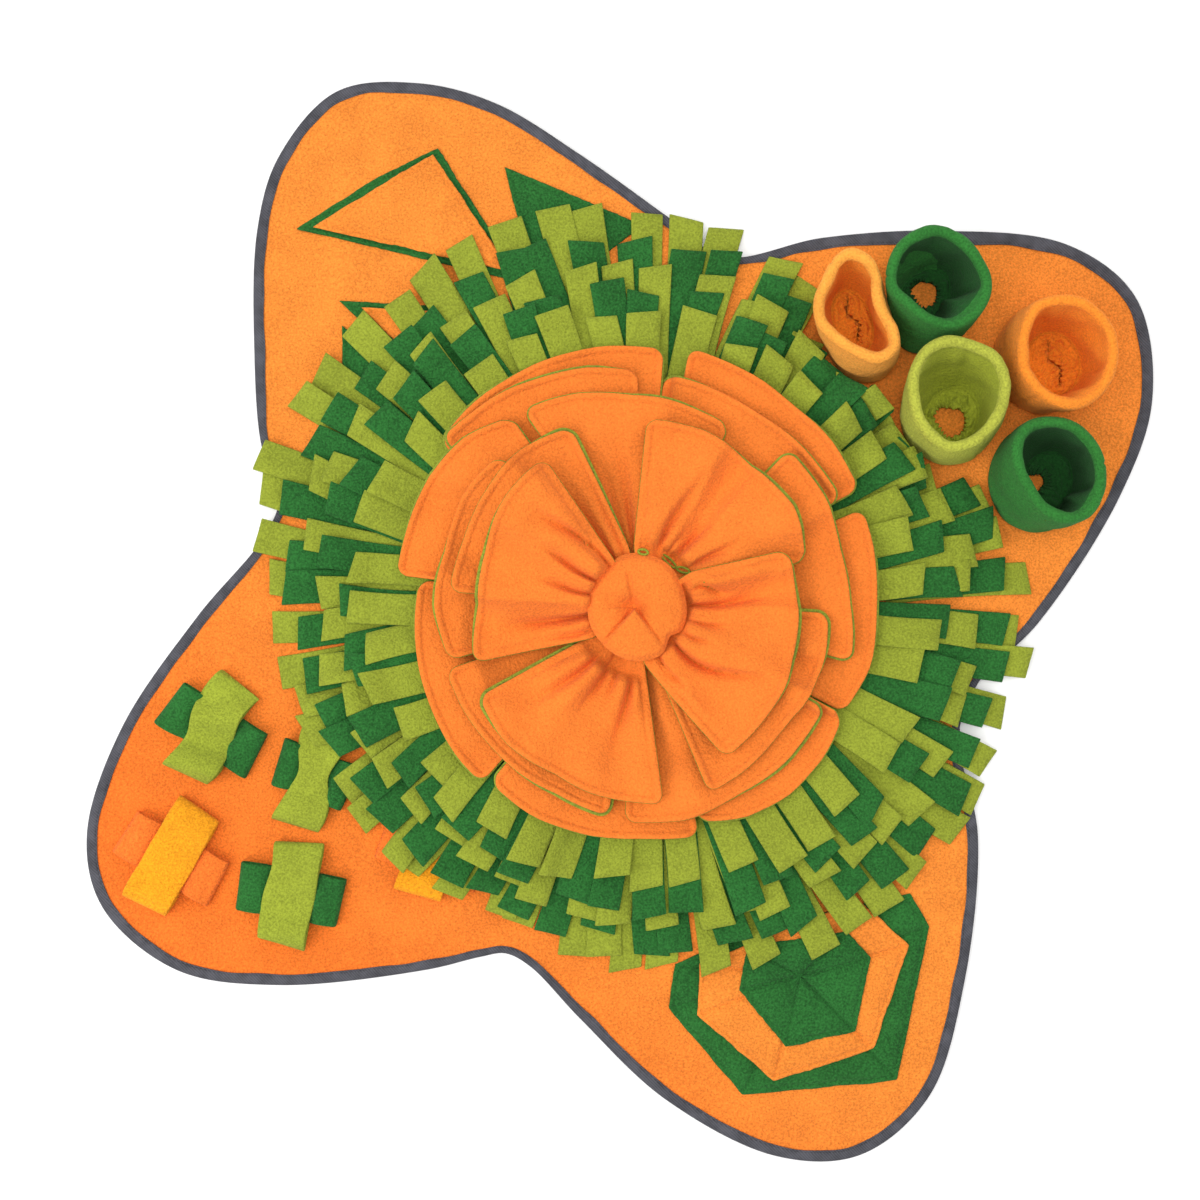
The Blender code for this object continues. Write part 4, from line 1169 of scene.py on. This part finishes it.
def petal_grid(number, start, end, edges):
    """Places of a petal's grid points, with their distances from its outline."""
    lines = np.array(EDGE_LINES)
    count = max(12, int(math.degrees(end - start) / (PETAL_STEP if number in VALLEYS else HIDDEN_STEP)))
    shares = np.linspace(0, 1, count)[1:-1]
    run = np.linspace(0, 1, PETAL_RUN)[:-1]
    rows_across = 2 * len(lines) + len(shares)
    margin = lines / (sum(edges) / len(edges) * (end - start))
    nominal = np.concatenate([margin, margin[-1] + (1 - 2 * margin[-1]) * shares, 1 - margin[::-1]])
    edge = np.interp(nominal, np.linspace(0, 1, len(edges)), edges)[:, None]
    edge = edge + 0.8 * waves(nominal * 300, nominal * 0, "petal edge %d" % number, 120)[:, None]
    inner_part = PETAL_INNER + (edge - lines[-1] - PETAL_INNER) * run[None, :]
    edge_part = np.repeat(lines[::-1][None, :], rows_across, axis=0)
    from_edge = np.concatenate([edge - inner_part, edge_part], axis=1)
    radius = edge - from_edge
    squeeze = np.minimum(1.0, radius * (end - start) / (2.6 * lines[-1]))
    side = np.concatenate([lines, np.full(len(shares), lines[-1]), lines[::-1]])[:, None] * squeeze
    is_left = (np.arange(rows_across) < len(lines))[:, None]
    is_right = (np.arange(rows_across) >= rows_across - len(lines))[:, None]
    bent_side, bent_edge = round_corner(side / squeeze, from_edge)
    bent_side = np.where(is_left | is_right, bent_side * squeeze, side)
    radius = edge - np.where(is_left | is_right, bent_edge, from_edge)
    if number in SIDE_FEET:
        turned = towards_foot(radius, edge)
        foot_first, foot_last = [math.radians(angle) for angle in SIDE_FEET[number]]
        start = start + (foot_first - start) * turned
        end = end + (foot_last - end) * turned
    first, last = start + lines[-1] * squeeze / radius, end - lines[-1] * squeeze / radius
    between = np.concatenate([np.zeros(len(lines)), shares, np.ones(len(lines))])[:, None]
    angle = first + (last - first) * between
    angle = np.where(is_left, start + bent_side / radius, angle)
    angle = np.where(is_right, end - bent_side / radius, angle)
    to_side = np.minimum(angle - start, end - angle) * radius
    return radius, angle, np.minimum(side / squeeze, from_edge), to_side


def line_at(number, angle):
    """Radius of the stitches across a petal's gathers."""
    if number not in GATHER_ENDS:
        return HIDDEN_LINE
    first, last = SIDE_FEET[number]
    low, high = GATHER_ENDS[number]
    return low + (high - low) * np.clip((np.degrees(angle) - first) / (last - first), 0, 1)


def gathered(number, radius, angle, fold):
    """Height of a petal's folds: broad ridges between the narrow valleys that its gathers pull."""
    valleys = VALLEYS.get(number)
    if valleys is None:
        return 0.25 * fold * (1 + np.sin(angle * 9 + number)) * np.exp(-np.clip(radius - 40, 0, None) / 60)
    open_share = np.zeros(np.shape(radius))
    draw = random.Random("valleys %d" % number)
    for foot, tip, reach, depth in valleys:
        out = ease((radius - GATHER_LINE) / (reach - GATHER_LINE))
        line = math.radians(foot) + math.radians(tip - foot) * out
        off = (angle - line) * radius
        half = VALLEY_HALF + VALLEY_SPREAD * np.clip(radius - GATHER_LINE, 0, None)
        steep = draw.choice((0.62, 1.5))
        half = np.where(off > 0, half * steep, half / steep)
        along = 1 - ease((radius - 0.74 * reach) / (0.42 * reach))
        open_share = 1 - (1 - open_share) * (1 - depth * along * np.exp(-np.abs(off / half) ** 1.25))
    ridge = RIDGE * fold / 6 * (1 - ease((radius - GATHER_LINE) / RIDGE_REACH))
    inside = 0.1 + 0.9 * ease((radius - line_at(number, angle) + 1) / 5)
    return ridge * (1 - open_share) * inside


def make_petal(ground, number, start, end, edges, fold, paint, lime):
    """Two layers of fleece sewn face to face, gathered in the middle and topstitched at the edge."""
    start, end = math.radians(start), math.radians(end)
    radius, angle, to_edge, to_side = petal_grid(number, start, end, edges)
    x = FLOWER_X + radius * np.cos(angle)
    y = FLOWER_Y + radius * np.sin(angle)
    low = settle(ground, x, y, PETAL_GAP, PETAL_STIFF if number in VALLEYS else HIDDEN_STIFF, 3)
    name = "petal %d" % number
    sway = (1.5 + 0.1 * fold) * (1 + waves(x, y, name, 48)) * ease((radius - 60) / 60)
    cupped = 3.2 * np.exp(-(to_edge / 7) ** 2) * (1 + 0.5 * waves(x, y, name + " rim", 60))
    folds = gathered(number, radius, angle, fold) * (0.25 + 0.75 * ease(to_side / 13))
    dips = np.exp(-((to_side - 20) / 13) ** 2 - ((to_edge - 24) / 13) ** 2)
    low = low + folds + sway + cupped + HOLLOW * (0.4 + 0.1 * fold) * ease((radius - 60) / 50) * (1 - dips)
    groove = STITCH_DEPTH * np.exp(-((to_edge - STITCH_LINE) / 0.8) ** 2)
    puff = 0.5 * np.exp(-((to_edge - 2.6) / 1.6) ** 2) + 0.8 * ease((to_edge - 6) / 14)
    high = low + PETAL_THICK - 0.7 + puff - groove + 0.10 * waves(x, y, "nap %d" % number, 12)
    high = np.where(to_edge < 0.01, low + PETAL_THICK * 0.8, high)
    if number in VALLEYS:
        high = high - GATHER_DEPTH * np.exp(-((radius - line_at(number, angle)) / 1.4) ** 2)
    skin = Skin()
    edge_x, edge_y = border(x), border(y)
    lip = np.clip(1.2 + 1.6 * waves(edge_x, edge_y, name + " lip", 110), 0.5, 2.2)
    if number in LIPS:
        turn = np.arctan2(edge_y - FLOWER_Y, edge_x - FLOWER_X)
        lip = np.clip(3.2 * near_angle(turn, *LIPS[number]), 0.8, 3.0)
    rails = PETAL_RAILS + tuple((outset + lip, share, slot) for outset, share, slot in LIME_RAILS)
    add_slab(skin, x, y, low, high, rails, low_slot=1)
    ground.cover(x, y, high)
    piece = skin.finish("petal_%02d_cloth" % number, [paint[0], lime], ["petal_%02d" % number])


# Small loops of the lime layer that show between the gathers: angle, radius, half length, turn
GATHER_LOOPS = ((88, 43, 4.0, -10), (57, 42.5, 8.0, -43), (39, 45, 5.4, -15))


def make_gather_loops(ground, paint):
    """Narrow rings of lime cloth where the gathers of the fourth petal stand open."""
    skin = Skin()
    around = np.linspace(0, 2 * math.pi, 20, endpoint=False)[:, None]
    section = np.linspace(0, 2 * math.pi, 8, endpoint=False)[None, :]
    for angle, radius, half, turn in GATHER_LOOPS:
        middle = placed(FLOWER, math.radians(angle), radius, 0)
        swell = 1.05 * np.cos(section)
        along = (half + swell) * np.cos(around)
        across = (2.1 + swell) * np.sin(around)
        x, y = placed(middle, math.radians(turn), along, across)
        seat = float(ground.under(*np.array(middle)[:, None, None])[0, 0])
        z = seat + 1.9 + 1.5 * np.sin(section) + 0 * around
        skin.add_tube(skin.add_points(x, y, z), along=True)
    piece = skin.finish("petal_04_gather_loops", [paint[0]])


BUD_SHIFT = (-3.3, -2.2)    # the bud's middle from the flower's
# Outline of the bud's cloth: angle and radius from its own middle
BUD_OUTLINE = (
    (2, 40), (14, 39.5), (35, 41), (57, 43), (80, 43.5), (100, 44), (113, 43.5), (122, 40), (140, 39.5),
    (165, 40), (187, 40.5), (204, 41), (222, 41), (238, 42), (257, 43.5), (276, 44), (296, 43.5),
    (307, 40), (314, 35.5), (322, 36), (330, 41), (345, 41),
)
BUD_SPOKES = 180
BUD_RINGS = 40
BUD_REACH = 43.0            # about its outer radius
BUD_STALK = 14.0            # its stalk's radius
BUD_TIP = (-2.5, -1.0)      # tip of the lapped fold, from the bud's middle
# Dents of the funnel: angle, depth, half width, radius where one dies away, length over which it does
BUD_DENTS = ((100, 2.6, 2.2, 26, 10), (162, 3.6, 6.0, 20, 12))
# Rounded rim and the second layer inside it: outset from the outline, how far below the top
BUD_RIM = ((0.7, 1.0), (0.7, 2.0), (0.0, 2.9), (-1.5, 3.2), (-2.5, 2.9), (-1.2, 3.6), (-0.9, 4.6),
           (-1.6, 5.6), (-4.0, 6.0))
DEGREES = 57.3              # in a radian
BUD_LAP = (229, 307)        # the fold's two edges, seen from its tip


def bud_height(x, y):
    """Top of the bud's cloth, from its middle: a shallow funnel that one corner of it laps over."""
    dx, dy = x - BUD_TIP[0], y - BUD_TIP[1]
    reach = np.hypot(dx, dy)
    signed_turn = np.degrees(np.arctan2(dy, dx))
    turn = signed_turn % 360
    funnel = 17.5 * (1 - np.exp(-(reach / 11.5) ** 1.3)) - 0.0055 * reach ** 2
    for at, depth, half, dies_from, dies_over in BUD_DENTS:
        off = (signed_turn - at) * reach / DEGREES
        dent = depth * np.exp(-(off / half) ** 2) * ease(reach / 8)
        funnel = funnel - dent * (1 - ease((reach - dies_from) / dies_over))
    left, right = BUD_LAP
    into = np.minimum(turn - left, right - turn) / DEGREES * np.maximum(reach, 1)
    across = (turn - (left + right) / 2) / ((right - left) / 2)
    lapped = 15.5 + 0.08 * reach + 3.6 * np.sqrt(np.clip(1 - across ** 2, 0, 1)) - 0.0035 * reach ** 2
    over = ease(into / 1.0 + 0.1) * ease(reach / 1.5)
    past = np.clip(turn - right, 0, None) / DEGREES * reach
    soft = 3.4 * np.exp(-past / 7) * (turn > right) * ease(reach / 12)
    soft = soft * (1 - ease((turn - 340) / 18))
    groove = 3.0 * np.exp(-(into / 1.6) ** 2) * (into < 0) * ease((reach - 3) / 4)
    groove = groove * (1 - ease((reach - 30) / 8))
    return funnel + soft - groove + np.maximum(lapped - funnel - soft, 0) * over


def make_bud(ground, paint):
    """The flower's rolled middle, a cloth drawn together into a funnel on its stalk."""
    angles = np.linspace(0, 2 * math.pi, BUD_SPOKES, endpoint=False)
    edge = np.interp(np.degrees(angles), *zip(*BUD_OUTLINE), period=360)
    wide = np.concatenate([edge[-2:], edge, edge[:2]])
    edge = np.convolve(wide, np.ones(5) / 5, mode="valid")
    cos, sin = np.cos(angles), np.sin(angles)
    middle_x, middle_y = FLOWER_X + BUD_SHIFT[0], FLOWER_Y + BUD_SHIFT[1]
    i, j = ground.cells(middle_x + BUD_REACH * cos, middle_y + BUD_REACH * sin)
    base = float(np.percentile(ground.height[i, j], 70))
    rings = []

    def add_ring(radius, height):
        rings.append((radius * cos, radius * sin, height))

    for share in np.linspace(0.02, 1, BUD_RINGS):
        droop = 3.0 * ease((share - 0.86) / 0.14) ** 2
        x, y = edge * share * cos, edge * share * sin
        add_ring(edge * share, base - 5 + bud_height(x, y) - droop)
    rim = rings[-1][2]
    for outset, down in BUD_RIM:
        add_ring(edge + outset, rim - down)
    for share in (0.75, 0.55, 0.4):
        add_ring(edge * share, np.minimum(rim - 6.5, base + 0 * angles) - 3 * (1 - share))
    for height in (base - 6, SEAT + 9, SEAT + 0.5):
        rings.append((BUD_STALK * cos - BUD_SHIFT[0], BUD_STALK * sin - BUD_SHIFT[1],
                      np.full(BUD_SPOKES, height)))
    x, y, z = [np.stack(part) for part in zip(*rings)]
    x, y = middle_x + x, middle_y + y
    skin = Skin()
    ids = skin.add_points(x, y, z)
    skin.add_tube(ids)
    for k in (0, -1):
        skin.add_cap(ids[k], x[k].mean(), y[k].mean(), z[k].mean())
    piece = skin.finish("centre_bud_cloth", [paint[0]], ["centre_bud"])


# ---- room ----

def add_to_scene(name, data):
    """A new object in the scene."""
    thing = bpy.data.objects.new(name, data)
    bpy.context.scene.collection.objects.link(thing)
    return thing


def make_room():
    """A pale floor, soft light from above and the camera over the picture's middle."""
    scene = bpy.context.scene
    floor_mesh = bpy.data.meshes.new("floor")
    corners = [(x * FLOOR_HALF, y * FLOOR_HALF, FLOOR_LEVEL) for x, y in ((-1, -1), (1, -1), (1, 1), (-1, 1))]
    floor_mesh.from_pydata(corners, [], [(0, 1, 2, 3)])
    pale, shader = new_material("pale_floor", 0.9, 0.1)
    fill(pale, shader, {"Base Color": (0.93, 0.93, 0.93, 1)})
    floor_mesh.materials.append(pale)
    add_to_scene("floor", floor_mesh)

    world = bpy.data.worlds.new("studio")
    world.use_nodes = True
    background = world.node_tree.nodes["Background"]
    background.inputs["Color"].default_value = (1.0, 0.99, 0.98, 1)
    background.inputs["Strength"].default_value = WORLD_LIGHT
    scene.world = world

    for name, place, size, power in LIGHTS:
        data = bpy.data.lights.new(name, "AREA")
        data.energy = power
        data.shape = "SQUARE"
        data.size = size
        light = add_to_scene(name, data)
        light.location = place
        light.rotation_euler = (-Vector(place)).to_track_quat("-Z", "Y").to_euler()

    lens = bpy.data.cameras.new("camera")
    lens.sensor_width = 36
    lens.sensor_height = 36
    lens.sensor_fit = "AUTO"
    lens.angle = 2 * math.atan(VIEW_WIDTH / 2 / CAMERA_HEIGHT)
    scene.camera = add_to_scene("camera", lens)
    scene.camera.location = (CAMERA_X * MM, CAMERA_Y * MM, CAMERA_HEIGHT * MM)
    scene.view_settings.view_transform = "Standard"
    scene.view_settings.look = "None"


def make_paints():
    """Every cloth's material by its colour's name."""
    paint = {name: fleece(name + "_fleece", colour, MOTTLES.get(name, MOTTLE))
             for name, colour in COLOURS.items() if name != "binding"}
    # Insides of the cups: copies of the cloth colours with painted light and shade.
    for name, colour in PAINTED_LIGHT_INSIDES.items():
        paint[name + " inside"] = fleece(name + "_inner_painted_light_fleece", colour, INSIDE_MOTTLE)
    paint["mat"] = fleece("mat_fleece", COLOURS["orange"], tint=NAP_TINT)
    paint["binding"] = twill("binding_tape", COLOURS["binding"])
    paint["thread"] = twill("thread", [channel * 0.8 for channel in COLOURS["binding"]])
    return paint


def make_cross(ground, cross, cloth):
    """Two looped strips across each other, both laid on what was there before them."""
    tops = []
    for level, turn, path in (("lower", -90, LOWER_PATH), ("upper", 0, UPPER_PATH)):
        node = "loop_%s_%s" % (cross["name"], level)
        centre = (cross["x"], cross["y"])
        length = cross[level + "_length"]
        tops.append(make_loop(ground, node, centre, cross["turn"] + turn, length, cross["hidden"], path,
                              cloth[cross[level]]))
    for top in tops:
        ground.cover(*top)


def build():
    paint = make_paints()
    cloth = {name: (paint[name], slot) for name, slot in SLOTS.items()}
    ground = Ground()
    make_mat(ground, paint)
    make_binding(ground, paint)
    make_tape_stitches(paint)
    for name, colour, corners in FLAPS:
        make_patch(ground, name, corners, cloth[colour])
    for name, colour, corners in WEB:
        make_patch(ground, name, corners, cloth[colour], centre=WEB_HUB)
    for cross in CROSSES:
        make_cross(ground, cross, cloth)
    for number, cup in enumerate(CUPS, 1):
        # Each cup's inside gets its copy of the colour with painted light and shade.
        make_cup(number, cup, cloth[cup["colour"]], paint[cup["colour"] + " inside"])
    for ring in FRINGE:
        make_fringe(ground, ring, cloth[ring[4]])
    for number, start, end, edges, fold in PETALS:
        make_petal(ground, number, start, end, edges, fold, cloth["petal"], paint["lime"])
    make_bud(ground, cloth["petal"])
    make_gather_loops(ground, cloth["lime"])
    make_room()


build()
